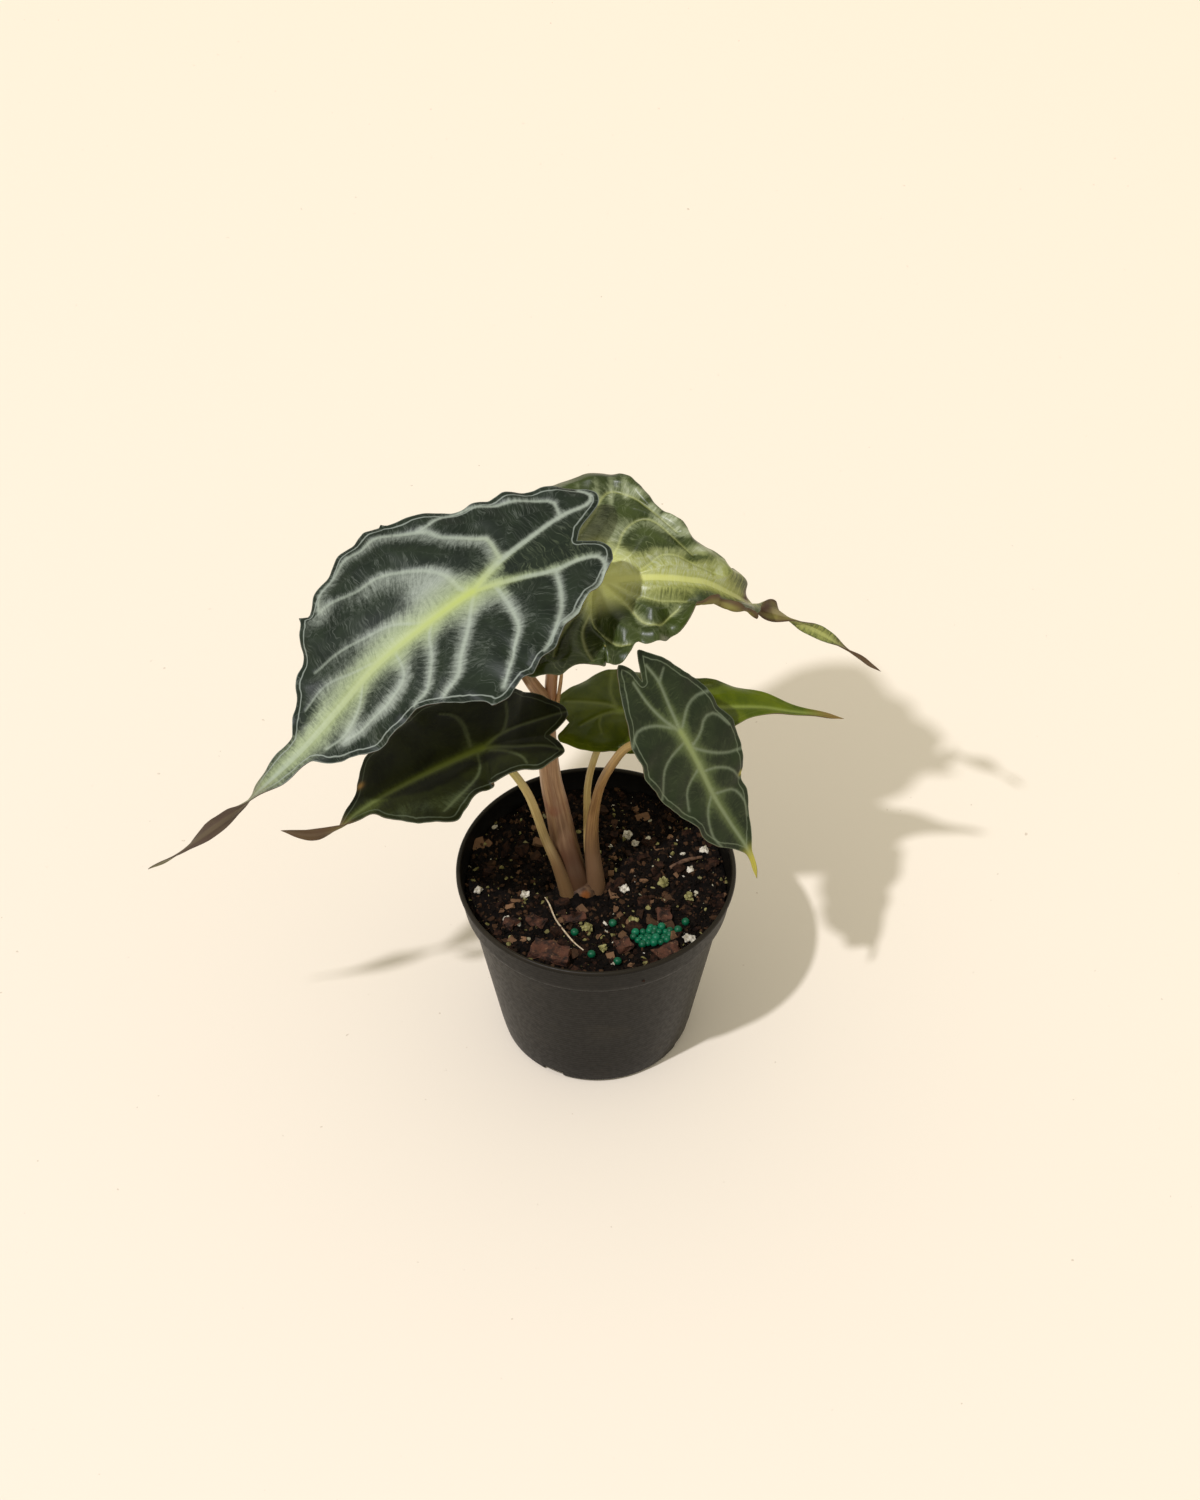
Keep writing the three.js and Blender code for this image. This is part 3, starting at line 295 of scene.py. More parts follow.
leafB = {
    "midline": [(-28, 14, 232, -22, 6, 6, -3, 3, 0), (-15, 16, 231, -22, 6, 6, -3, 3, 0),
        (-1, 20, 229, -24, 8, 4, -4, 4, 0), (20, 21, 230, -26, 8, 4, -4, 6, 0),
        (30, 22.4, 228.3, -27, 8, 4, -4, 10, 7), (35.5, 23.8, 226.2, -27, 8, 3, -4, 160, 9.5),
        (42, 26, 223, -28, 8, 2, -4, 185, 10), (51, 29, 215, -29, 8, 4, -6, 180, 8.5),
        (58, 34, 206, -24, 8, 6, -20, 130, 5), (61, 37, 202, 10, 4, 4, -10, 10, 3), (64, 40, 198, 60, 4, 0),
        (69, 43, 192, 130, 3, 0), (76, 44, 186, 217, 3, 0), (89, 44, 179, 307, 3, 0),
        (101, 43, 171, 397, 3, 0), (114, 42, 160, 480, 3, 0)],
    "left": [(-22, 0), (-29, 5), (-36, 10), (-40, 17), (-37, 26), (-29, 33.5), (-19, 38.5), (-9, 41),
        (0, 44.6), (7, 45.6), (14, 43.2), (20, 37.8), (25, 30.5), (31, 26), (38, 20), (44, 15), (51, 12),
        (58, 11.5), (66, 11.3), (71, 10), (75, 6.5), (78, 3.4), (84, 3.8), (90, 4.2), (99, 2.6), (106, 2.8),
        (114, 2.7), (128, 1.6), (136, 1.3), (145, 0)],
    "right": [(-22, 0), (-27, -8), (-33, -16), (-37, -24), (-36.5, -32), (-32, -39), (-26, -42.5),
        (-20, -42), (-15, -37.5), (-11, -39.5), (-4, -40), (5, -38.5), (11.5, -35), (15.5, -29.5),
        (21, -28), (28, -25), (33.5, -20.5), (36.5, -18), (41, -20), (48, -20.5), (55, -18.5), (62, -14.5),
        (68, -9.5), (72, -6.5), (75, -4), (78, -3), (84, -3.8), (90, -4.2), (99, -2.6), (106, -2.8),
        (114, -2.7), (128, -1.6), (136, -1.3), (145, 0)],
    "turns": (3, 3), "grid": (50, 232, 84), "ripple": (1.2, 13), "frill": 0.3, "bulge": 3.6, "cell": 4.6,
    "channel": 0.8, "tail": (118, 130), "spots": [(71, 2, 3), (84, 0, 5)],
    "teeth": [(-3, -40.4, 0.3, 4, 3.6), (16, -29.5, 0, 1.6, 1.8)],
    "clouds": [(2, 34, 20, 10, -0.5), (48, 5, 12, 7, 0.5), (20, 28, 7, 4, -1.3), (16, 14, 5, 3.2, -1.1),
        (31, 14.5, 7, 2.4, -1.3), (40, 9, 5, 2.2, -1.1), (8, 18, 6, 6, 0.3), (9, 34, 1.2, 8, 0.9),
        (4, 35, 1.2, 8, 0.8), (14, 36, 1.2, 6, 0.9), (-1, 36, 1.1, 6, 0.8), (24, 28, 1.6, 3, 0.7),
        (19, 34.5, 4, 2.5, 0.9), (24, 28.5, 4, 2, 0.9), (30, 24, 4, 2, 1), (37, 18.5, 4, 2, 1),
        (44, 13, 4, 2, 1), (51, 10, 4, 2, 1), (58, 9.5, 4, 2, 0.9), (65, 9, 4, 2, 0.7),
        (7, -18.6, 5, 5, -1.1), (-9, -28, 5, 6, -1), (-13, -22, 4, 6, -0.7), (-20, -34, 7, 6, -1),
        (17, -20, 3, 4, 0.5), (25, -17, 4, 2.5, -1), (30, -14, 8, 2, 0.4), (14, -32, 10, 2, -0.8),
        (-15, -38, 10, 4, -0.9), (0, -33, 4, 5, -0.9), (12, 0, 24, 9, 0.9), (-4, -7, 8, 7, 0.6)],
    "veins": [
        ((1.3, 0.4, 7, 6, 1, 0.6, 0.9, 0.2), [(0, 0), (30, 0), (60, 0), (78, 0), (110, 0), (145, 0)]),
        ((0.8, 0.3, 6, 5, 0.95, 0.8, 0.6, 0), [(0, 0), (-10, 7), (-20, 14), (-29, 20), (-31, 27)]),
        ((0.8, 0.3, 4, 5, 0.9, 0.7, 0.6, 0), [(0, 0), (-9, -8), (-19, -17), (-28, -27), (-27, -35)]),
        ((0.4, 0.2, 5, 6, 0.95, 0.8, 0.3, 0), [(14.7, 1.5), (21, 4.6), (26.1, 8.8), (32.6, 9), (42.6, 5.7),
         (48.4, 4.7)]),
        ((0.5, 0.2, 6, 6, 1, 0.8, 0.4, 0), [(1, 2.4), (9.3, 11.3), (12.2, 18.5), (16.7, 22.8), (21.8, 23.6),
         (26.4, 20.9), (33, 15), (40, 10)]),
        ((0.5, 0.2, 6, 7, 1, 0.8, 0.2, 0), [(-4, 17.5), (1.7, 26.4), (8.3, 36.6), (16.3, 33.6),
         (24.2, 26.5), (32.9, 18.6)]),
        ((0.6, 0.2, 2.4, 2.4, 0.95, 0.75, 0.8, 0.1), [(0, -1.7), (-3.4, -12.7), (-4.1, -20.2), (1.6, -24.4),
         (9, -29.3), (12.7, -29.6)]),
        ((0.5, 0.2, 2.4, 2.4, 0.95, 0.75, 0.7, 0.1), [(5, -2.2), (11.6, -9.7), (15.7, -16.1), (18.7, -19.5),
         (22.7, -20.6), (31.3, -13.3)]),
        ((0.5, 0.2, 3, 3, 0.8, 0.6, 0.2, 0), [(-3.4, -12.7), (-9.7, -21.1), (-11.1, -30), (-10.7, -37)]),
        ((0.5, 0.2, 3, 3.4, 0.85, 0.6, 0.3, 0), [(6, -0.3), (14.4, -5.9), (22.8, -9.2), (31.7, -9.4),
         (35, -9.2)]),
        ((0.5, 0.2, 3, 3, 0.8, 0.6, 0.4, 0), [(-0.5, -2.7), (-11.2, -14.4), (-16.6, -23.5),
         (-19.5, -32.1)]),
    ],
}
leafC = {
    "midline": [(-14, -18, 185, 12, 5, -3), (-29, -15.5, 179.5, 12, 6, -3), (-43, -14, 173, 8, 6, -3),
        (-60, -22.5, 171, 3, 6, -3), (-80, -31, 165, 0, 6, -3), (-91, -37, 161, -10, 6, -3),
        (-97, -43, 160, -51, 5, 0), (-107, -49, 162, -130, 5, 0), (-119, -51.5, 167, -170, 5, 0)],
    "left": [(-28, 0), (-32.5, 4), (-35, 8.5), (-33, 11.5), (-26.8, 15.1), (-20, 15), (-13, 16.6),
        (-6, 18.4), (4, 18.8), (13, 19.6), (18, 23.5), (23, 27), (28, 25.2), (38, 18.2), (46, 11.5),
        (50, 5.5), (56, 4.2), (61, 3.2), (66, 2.4), (75, 2.2), (82, 1.4), (88, 0)],
    "right": [(-28, 0), (-31.5, -3), (-34.5, -7.5), (-32, -13), (-25.7, -16.4), (-18.6, -20.3), (-10, -25),
        (4, -28.5), (18, -28.8), (30, -26), (39, -22), (44, -18.5), (48, -13), (51, -8), (55, -5.5),
        (60, -4), (66, -2.4), (75, -2.2), (82, -1.4), (88, 0)],
    "turns": (2, 2), "grid": (30, 150, 56), "ripple": (0.8, 16), "frill": 0.2, "bulge": 0.5, "cell": 6,
    "channel": 0.2, "tail": (56, 72), "spots": [(48, -10, 1.3)],
    "teeth": [],
    # painted light: these clouds lighten the strip along leaf C's left margin that leaf A's shadow misses
    "clouds": [(40, 12, 8, 5, 0.5), (28, 16, 8, 5, 0.45), (50, 3, 8, 4, 0.5), (17, 19, 7, 5, 0.4)],
    "veins": [
        ((0.8, 0.3, 4, 4, 0.8, 0.5, 1, 0.2), [(0, 0), (30, 0), (60, 0), (88, 0)]),
        ((0.5, 0.2, 2, 2, 0.5, 0.3, 0.6, 0), [(0, 0), (-7.9, -4.6), (-17.2, -6.3), (-28.4, -8.6),
         (-33.7, -9.8)], [(0, 0), (-14.4, 3.4), (-26.3, 4.9), (-34.7, 8.2)]),
        ((0.35, 0.15, 2, 2, 0.5, 0.3, 0, 0), [(-7.9, -4.6), (-9, -11.3), (-7.8, -18.7)]),
        ((0.4, 0.15, 3, 2, 0.6, 0.3, 0, 0), [(4.3, -3.2), (3.4, -12.5), (4.6, -19), (7.6, -22)]),
        ((0.4, 0.15, 2, 3, 0.6, 0.3, 0, 0), [(2.8, -0.4), (5.3, 8.2), (12.1, 13.6), (24.9, 20.8)]),
        ((0.4, 0.15, 2, 2, 0.6, 0.3, 0, 0), [(-2.6, 1.9), (-13.1, 5.8), (-18.8, 10), (-20.1, 12.2)]),
    ],
}
leafD = {
    "midline": [(-15, 9, 162, 0, 6, -6, -4, -5, 0), (-3, 11, 165, 0, 6, -6, -4, -5, 0),
        (9, 12.5, 167, 0, 6, -6, -4, -5, 0), (36, 12, 169, 0, 6, -4, -4, -5, 0),
        (64, 15.5, 166, 0, 6, 2, -4, -4, 0), (77, 16, 163, 0, 12, 0), (88, 16.5, 161, -10, 10, 0),
        (98, 16, 159, -60, 10, 0)],
    "left": [(-20, 0), (-22, 4.5), (-25, 8), (-28, 9.8), (-27, 11.8), (-20, 15.2), (-10, 20.5), (-2, 22.2),
        (9, 21), (22, 18.4), (34, 15.8), (46, 12.4), (56, 8.4), (66, 4.6), (75, 2.2), (83, 1.2), (90, 0)],
    "right": [(-20, 0), (-23, -2.5), (-25.5, -4.5), (-25.5, -7), (-22.5, -9.5), (-18.8, -12.9),
        (-13.9, -15.9), (-9, -18), (-1, -19), (8, -20.7), (18, -20.5), (28, -17.5), (38, -12.8),
        (45.2, -9.5), (52, -5.3), (60, -3.5), (68, -2.2), (76, -1.4), (83, -1), (90, 0)],
    "turns": (3, 3), "grid": (24, 150, 50), "ripple": (0.9, 19), "frill": 0.15, "bulge": 0.8, "cell": 6,
    "channel": 0.25, "tail": (72, 86), "spots": [],
    "teeth": [],
    "clouds": [(-8, 12, 8, 5, 0.3), (10, -10, 8, 4, -0.2), (30, 6, 12, 5, 0.3), (-5, 17, 10, 3, 0.4)],
    "veins": [
        ((0.8, 0.3, 3, 3, 0.7, 0.4, 0.8, 0.2), [(0, 0), (30, 0), (60, 0), (90, 0)]),
        ((0.5, 0.2, 2, 2, 0.5, 0.3, 0.5, 0), [(0, 0), (-1.9, 2.9), (-9.6, 6.9), (-19.4, 11.1)], [(0, 0),
         (-7.5, -0.6), (-15.9, -3)]),
        ((0.35, 0.15, 2, 2, 0.5, 0.3, 0, 0), [(-7.5, -0.6), (-8.8, -5.6), (-8.6, -8.9)], [(-1.1, 3.3),
         (-2.4, 10.5), (-0.9, 22)]),
        ((0.4, 0.15, 2, 2, 0.5, 0.3, 0, 0), [(14.9, 0), (19, 6.5), (28.7, 12.1), (38.1, 11.9)], [(14.9, 0),
         (19.1, -11.8), (22.9, -16)]),
    ],
}
leafE = {
    "midline": [(13, -9.5, 213, -20, 5, -3), (22, -14, 200, -20, 5, -3), (32, -18, 186, -20, 5, -3),
        (38.5, -21, 173, -20, 5, -3), (45.5, -24.5, 157, -20, 5, -3), (52, -27, 145, -20, 5, -3),
        (58, -29.5, 135, -25, 8, -3), (61, -31.5, 129, -40, 8, 0), (63, -33.5, 120, -60, 8, 0)],
    "left": [(-26, 0), (-30, 2), (-34, 4), (-36.5, 6), (-33, 8.7), (-27, 12.8), (-19, 15.8), (-10, 19),
        (-2, 20), (4, 19.8), (11, 22), (18, 21.5), (25, 19), (32, 17.2), (36, 14.6), (42, 14), (48, 10.5),
        (54, 6.5), (59, 3), (62, 1.4), (66, 1), (70, 0.9), (75, 0)],
    "right": [(-26, 0), (-32, -0.5), (-37.5, -3.8), (-36, -6.5), (-31, -9), (-26, -11.5), (-20, -15.3),
        (-13, -19.5), (-5, -22), (4, -23), (12, -22.5), (20, -20.4), (28, -17.3), (35, -13.8), (41, -14),
        (48, -11.2), (54, -6.4), (59, -3), (62, -1.4), (66, -1), (70, -0.9), (75, 0)],
    "turns": (3, 2), "grid": (30, 150, 52), "ripple": (0.7, 14), "frill": 0.2, "bulge": 0.5, "cell": 5,
    "channel": 0.2, "tail": (57, 66), "spots": [(33.4, 15.6, 1.2)],
    "teeth": [(33.5, 15.8, 0.3, -0.9, 0.7)],
    "clouds": [(30, 0, 24, 7, 0.2), (-10, 0, 14, 8, 0.15)],
    "veins": [
        ((0.8, 0.3, 4.5, 4.5, 0.95, 0.8, 0.9, 0.2), [(0, 0), (25, 0), (50, 0), (75, 0)]),
        ((0.45, 0.2, 2.6, 2.6, 0.85, 0.6, 0.4, 0), [(0, 0), (-7.8, -2.5), (-17.8, -3.7), (-28.3, -3.4)],
         [(0, 0), (-7.9, 2), (-20.9, 5.3), (-29.8, 5)]),
        ((0.3, 0.15, 1.4, 1.4, 0.5, 0.3, 0, 0), [(-20.9, 5.3), (-24.2, 10.2)]),
        ((0.3, 0.15, 2.4, 2.4, 0.8, 0.5, 0, 0), [(-0.9, 1.7), (-5, 8.6), (-5.2, 14.3), (-2.8, 20.2)],
         [(8.5, 0), (6.1, 7), (2.8, 11.9), (4.6, 16.8), (11.7, 19.5)], [(7.5, 0), (15.8, 7.2), (20.7, 13.8),
         (23.1, 19.7)]),
        ((0.25, 0.12, 2.2, 2.2, 0.75, 0.5, 0, 0), [(20.1, 0), (22.3, 6), (27.4, 11.7), (35.4, 14.1)],
         [(31.1, 0), (36.4, 8.8), (43.9, 10.4), (50, 8.1)]),
        ((0.3, 0.15, 2.4, 2.4, 0.8, 0.5, 0, 0), [(-3, -1.2), (-11, -8.1), (-14, -14.8), (-11.2, -19.9)],
         [(4.4, 0), (4.9, -10.1), (8, -15.6), (17.4, -20.6)]),
        ((0.25, 0.12, 2.2, 2.2, 0.75, 0.5, 0, 0), [(17.3, 0), (21.3, -9.2), (29.1, -12.6)], [(30.4, 0),
         (35.9, -6.8), (44.2, -10), (50.6, -9.4)]),
    ],
}
# what all blades share: row of the midline at the joint, thickness at the edge and further in, where the
#   relief fades out, how finely the veins are followed
blade = {
    "jointRow": 2, "edgeThick": 0.16, "moreThick": 0.2, "thickReach": 2.5, "rippleReach": 12,
    "pillowReach": 6, "pillowEdge": 4, "channelReach": 0.8, "sink": 0.25, "veinStep": 2.5, "veinOffset": 60,
    "haloFade": 0.35, "dryTail": 0.85,
}


# gives points of a leaf's middle surface, raised off it by some height
def leafSurface(leaf):
    rows = [row if len(row) > 6 else (*row[:5], row[4], row[5], row[5], 0) for row in leaf["midline"]]
    marks = runningLength(rows, 3)
    midline = smoothCurve(rows, marks)
    start = marks[blade["jointRow"]]

    def at(along, across, raised):
        here = midline(along + start)
        tangent = unit(midline(along + start + 0.5)[:, :3] - midline(along + start - 0.5)[:, :3])
        normal = unit(np.array([0.0, 0.0, 1.0]) - tangent * tangent[:, 2:3])
        roll = np.radians(here[:, 3:4])
        normal = normal * np.cos(roll) + np.cross(normal, tangent) * np.sin(roll)
        side = np.cross(normal, tangent)
        left = across >= 0
        lift = np.radians(np.where(left, here[:, 4], here[:, 5]))
        bend = np.radians(np.where(left, here[:, 6], here[:, 7]) / 10)
        bend = np.where(np.abs(bend) < 1e-6, 1e-6, bend)
        straight = np.minimum(np.abs(across), np.maximum(here[:, 8], 0))
        turned = lift + bend * (np.abs(across) - straight)
        outward = (straight * np.cos(lift) + (np.sin(turned) - np.sin(lift)) / bend
                   - raised * np.sin(turned))
        upward = (straight * np.sin(lift) + (np.cos(lift) - np.cos(turned)) / bend
                  + raised * np.cos(turned))
        return here[:, :3] + side * np.where(left, outward, -outward)[:, None] + normal * upward[:, None]

    return at


# distance, running length and side of flat points against a line
def nearestOnLine(flat, line):
    marks = runningLength(line, 2)
    best = np.full(len(flat), 1e9)
    run, side = np.zeros(len(flat)), np.ones(len(flat))
    for a, b, mark in zip(line[:-1], line[1:], marks[:-1]):
        step = b - a
        length = np.hypot(*step)
        away = flat - a
        share = np.clip(away @ step / length ** 2, 0, 1)
        gap = awayFrom(away, share * step[0], share * step[1])
        closer = gap < best
        best[closer] = gap[closer]
        run[closer] = mark + share[closer] * length
        side[closer] = np.sign(step[0] * away[closer, 1] - step[1] * away[closer, 0])
    return best, run, side, marks[-1]


def leafFields(flat, leaf, outline):
    vein, nearest, dark = np.full(len(flat), 1e3), np.full(len(flat), 1e3), np.ones(len(flat))
    glow, run, gap = np.zeros((3, len(flat)))
    veins = [(form, path) for form, *paths in leaf["veins"] for path in paths]
    for order, (form, path) in enumerate(veins):
        wide, thin, haloLeft, haloRight, silverA, silverB, glowA, glowB = form
        marks = runningLength(path, 2)
        count = max(int(marks[-1] / blade["veinStep"]), 3)
        line = smoothCurve(path, marks)(np.linspace(0, marks[-1], count))
        away, along, side, total = nearestOnLine(flat, line)
        share = along / total
        width = wide + (thin - wide) * share
        halo = np.where(side >= 0, haloLeft, haloRight) * (1 - blade["haloFade"] * share)
        dark *= 1 - (silverA + (silverB - silverA) * share) * bell(away / halo)
        shine = glowA + (glowB - glowA) * np.minimum(1, share * (1.7 if order == 0 else 4))
        glow = np.maximum(glow, shine * bell(away / (1.4 * width + 0.5)))
        vein = np.minimum(vein, away - width)
        closer = away < nearest
        nearest[closer], gap[closer] = away[closer], (away * side)[closer]
        run[closer] = (along + blade["veinOffset"] * order)[closer]
    silver = 1 - dark
    for x, y, reachX, reachY, strength in leaf["clouds"]:
        silver += strength * bell((flat[:, 0] - x) / reachX, (flat[:, 1] - y) / reachY)
    tailFrom, tailTo = leaf["tail"]
    tail = np.clip((flat[:, 0] - tailFrom) / (tailTo - tailFrom), 0, 1)
    dry = blade["dryTail"] * tail * tail * (3 - 2 * tail)
    for x, y, reach in leaf["spots"]:
        dry += bell(awayFrom(flat, x, y) / reach)
    return {"vein": vein, "silver": np.clip(silver, 0, 1.1), "glow": glow, "run": run, "gap": gap,
            "edge": nearestOnLine(flat, outline)[0], "near": nearest, "dry": np.clip(dry, 0, 1)}


def halfGrid(leaf, outline, turnRow):
    marks = runningLength(outline, 2)
    edge = smoothCurve(outline, marks)
    turn, end = marks[turnRow], marks[-1]
    notch, tip = outline[0][0], outline[-1][0]
    lobeRows, bladeRows, columns = leaf["grid"]
    walked = np.concatenate([np.linspace(0, turn, lobeRows, endpoint=False),
                             turn + np.linspace(0, tip - notch, bladeRows + 1)])
    onMidrib = np.stack([notch + walked - turn, np.zeros_like(walked)], axis=1)
    inner = np.where((walked <= turn)[:, None], edge(np.maximum(turn - walked, 0)), onMidrib)
    outer = edge(turn + (end - turn) * walked / (turn + tip - notch))
    reach = np.hypot.reduce(outer - inner, axis=1)
    frill = np.sin(0.45 * walked + 0.4) + 0.35 * np.sin(1.3 * walked + 1.9) + 0.6 * np.sin(0.21 * walked)
    outward = unit(np.gradient(outer, axis=0))[:, ::-1] * [-1, 1] * np.sign(outline[2][1])
    outer = outer + outward * (leaf["frill"] * frill * np.clip(reach / 16 - 0.1, 0, 1))[:, None]
    for x, y, pushX, pushY, width in leaf["teeth"]:
        outer = outer + bell(awayFrom(outer, x, y) / width)[:, None] * np.array([pushX, pushY])
    share = np.linspace(0, 1, columns + 1)
    flat = inner[:, None] * (1 - share[:, None]) + outer[:, None] * share[:, None]
    rim = np.concatenate([inner[lobeRows::-2], outer[::2]])
    return flat, np.broadcast_to(share, flat.shape[:2]), rim


def leafPiece(name, leaf, slot, finishes):
    lobeRows = leaf["grid"][0]
    flats, shares, quads, rims, offset = [], [], [], [], 0
    for side, turnRow, way in (("left", leaf["turns"][0], 1), ("right", leaf["turns"][1], -1)):
        flat, share, rim = halfGrid(leaf, leaf[side], turnRow)
        index = np.arange(flat.shape[0] * flat.shape[1]).reshape(flat.shape[:2]) + offset
        offset += index.size
        index[0], index[-1] = index[0, 0], index[-1, 0]
        if side == "left":
            middle = index[lobeRows:, 0].copy()
        else:
            index[lobeRows:, 0] = middle
            index[-1] = middle[-1]
        corners = [index[:-1, :-1], index[1:, :-1], index[1:, 1:], index[:-1, 1:]]
        quads.append(np.stack([c.ravel() for c in corners[::way]], axis=1))
        flats.append(flat.reshape(-1, 2))
        shares.append(share.ravel())
        rims.append(rim[::way])
    flat, share, quads = np.concatenate(flats), np.concatenate(shares), np.concatenate(quads)
    skin = np.concatenate([quads[:, [0, 1, 2]], quads[:, [0, 2, 3]]])
    skin = skin[(skin[:, 0] != skin[:, 1]) & (skin[:, 1] != skin[:, 2]) & (skin[:, 2] != skin[:, 0])]
    used = np.unique(skin)
    lookup = np.zeros(len(flat), int)
    lookup[used] = np.arange(len(used))
    flat, share, skin = flat[used], share[used], lookup[skin]

    fields = leafFields(flat, leaf, np.concatenate(rims))
    along, across = flat[:, 0], flat[:, 1]
    fade = np.minimum(1, np.abs(across) / blade["rippleReach"])
    height, pitch = leaf["ripple"]
    ripple = height * share ** 3 * np.sin(2 * np.pi * (along + 0.3 * across) / pitch)
    width = (np.minimum(1, np.abs(across) / blade["pillowReach"])
             * np.minimum(1, fields["edge"] / blade["pillowEdge"]))
    pillow = leaf["bulge"] * (1 - bell(fields["near"] / leaf["cell"])) * width
    channel = leaf["channel"] * bell(np.maximum(fields["vein"], 0) / blade["channelReach"])
    raised = fade * ripple + pillow - channel - blade["sink"] * leaf["bulge"] * fade
    points = leafSurface(leaf)(along, across, raised)

    a, b, c = points[skin[:, 0]], points[skin[:, 1]], points[skin[:, 2]]
    facing = np.cross(b - a, c - a)
    normals = np.zeros_like(points)
    for corner in range(3):
        np.add.at(normals, skin[:, corner], facing)
    thick = blade["edgeThick"] + blade["moreThick"] * np.minimum(1, fields["edge"] / blade["thickReach"])
    shell = unit(normals) * thick[:, None]
    below = len(points)
    # edges that only one face has are closed with a rim
    sides = np.concatenate([skin[:, [0, 1]], skin[:, [1, 2]], skin[:, [2, 0]]])
    code, back = sides[:, 0] * below + sides[:, 1], sides[:, 1] * below + sides[:, 0]
    a, b = sides[~np.isin(code, back)].T
    faces = np.concatenate([skin, skin[:, ::-1] + below, np.column_stack([b, a, a + below]),
                            np.column_stack([b, a + below, b + below])])
    mesh = newMesh(name, np.concatenate([points + shell, points - shell]), faces.tolist())
    for key, values in fields.items():
        setField(mesh, key, np.tile(values, 2))
    setField(mesh, "flat", np.tile(np.column_stack([along, across, np.zeros(below)]), (2, 1)))
    piece = addPiece(name, mesh, [], slot, finishes)
    backside = np.arange(len(faces)) >= len(skin)
    mesh.polygons.foreach_set("material_index", backside.astype(np.int32))
    return piece


# leaf finish: deep green, silver wash feathered out from the veins, pale veins and margin line, painted
# light round the joint and a painted highlight along the very edge
def bladeFinish(name, look):
    material, tree = newFinish(name, look["rough"], look["shine"])[:2]
    flat = field(tree, "flat", "Vector")
    run, gap, silver, glow, vein, edge = (field(tree, key)
                                          for key in ("run", "gap", "silver", "glow", "vein", "edge"))
    feather = grain(tree, combine(tree, run, calc(tree, "MULTIPLY", gap, 0.16)), 0.75, 6.0, 0.72, 1.2)
    speck = grain(tree, flat, 0.8, 6.0, 0.78, 0.4)
    loose = calc(tree, "MULTIPLY_ADD", calc(tree, "SUBTRACT", feather, 0.5), look["feather"], silver)
    loose = calc(tree, "MULTIPLY_ADD", calc(tree, "SUBTRACT", speck, 0.5), look["speck"], loose)
    wash = between(tree, loose, look["washFrom"], look["washTo"])
    sway = calc(tree, "MULTIPLY_ADD", grain(tree, flat, 0.12, 2.0), 7.0, run)
    strands = grain(tree, combine(tree, sway, calc(tree, "MULTIPLY", gap, 0.06)), 0.45, 3.0, 0.62)
    thread = calc(tree, "ABSOLUTE", calc(tree, "SUBTRACT", strands, 0.5))
    hairs = calc(tree, "MULTIPLY", between(tree, thread, 0.0, 0.03, look["web"], 0.0),
                 between(tree, grain(tree, flat, 0.11, 3.0), 0.4, 0.6, 0.25, 1.0))
    wash = calc(tree, "MAXIMUM", wash, hairs)
    across = addNode(tree, "ShaderNodeSeparateXYZ", {0: flat}, 1)
    heart = between(tree, calc(tree, "ABSOLUTE", across), 2.0, look["heartReach"], 1.0, 0.0)
    washColour = tint(tree, heart, look["wash"], look["heart"])
    frost = between(tree, loose, look["washTo"] - 0.15, look["washTo"] + 0.35)
    fromJoint = vectorCalc(tree, "LENGTH", {0: flat}, 1)
    wander = calc(tree, "MULTIPLY_ADD", grain(tree, flat, 0.15, 2.0), 1.8, look["inset"] - 0.9)
    inset = calc(tree, "ABSOLUTE", calc(tree, "SUBTRACT", edge, wander))
    colour = layered(
        tree, look["deep"], (between(tree, grain(tree, flat, 0.09), 0.35, 0.65), look["deepAlt"]),
        (calc(tree, "MULTIPLY", wash, look["washShare"]), washColour),
        (calc(tree, "MULTIPLY", frost, look["frostShare"]), look["frost"]),
        (between(tree, vein, -0.5, 0.95, look["veinShare"], 0.0), look["vein"]),
        # painted light: the blade is lightened round its joint, where another leaf's shadow falls on it
        (between(tree, fromJoint, 6.0, 20.0, look["jointLightShare"], 0.0), look["joint"]),
        (calc(tree, "MULTIPLY", glow, look["glowShare"]), look["glow"]),
        (between(tree, inset, 0.0, 0.42, look["insetShare"], 0.0), look["margin"]),
        # painted highlight: the margin colour laid thinly along the very edge of the blade
        (between(tree, edge, 0.0, 0.45, look["edgeHighlightShare"], 0.0), look["margin"]),
        (field(tree, "dry"), look["dry"]))
    return finished(material, colour, calc(tree, "MULTIPLY_ADD", feather, 0.6, speck), 0.00012, 0.5)


def undersideFinish(name, low, high, rim):
    material, tree = newFinish(name, 0.6, 0.3)[:2]
    mottle = grain(tree, field(tree, "flat", "Vector"), 0.12, 4.0, 0.6)
    line = between(tree, field(tree, "vein"), -0.1, 0.5, 0.7, 0.0)
    inward = calc(tree, "ADD", field(tree, "edge"), calc(tree, "MULTIPLY", mottle, 1.6))
    brown = calc(tree, "MAXIMUM", between(tree, inward, 1.0, 2.4, 0.85, 0.0), field(tree, "dry"))
    colour = layered(tree, low, (between(tree, mottle, 0.35, 0.65), high), (line, (150, 140, 100)),
                     (brown, rim))
    return finished(material, colour, line, 0.0003, 0.6)


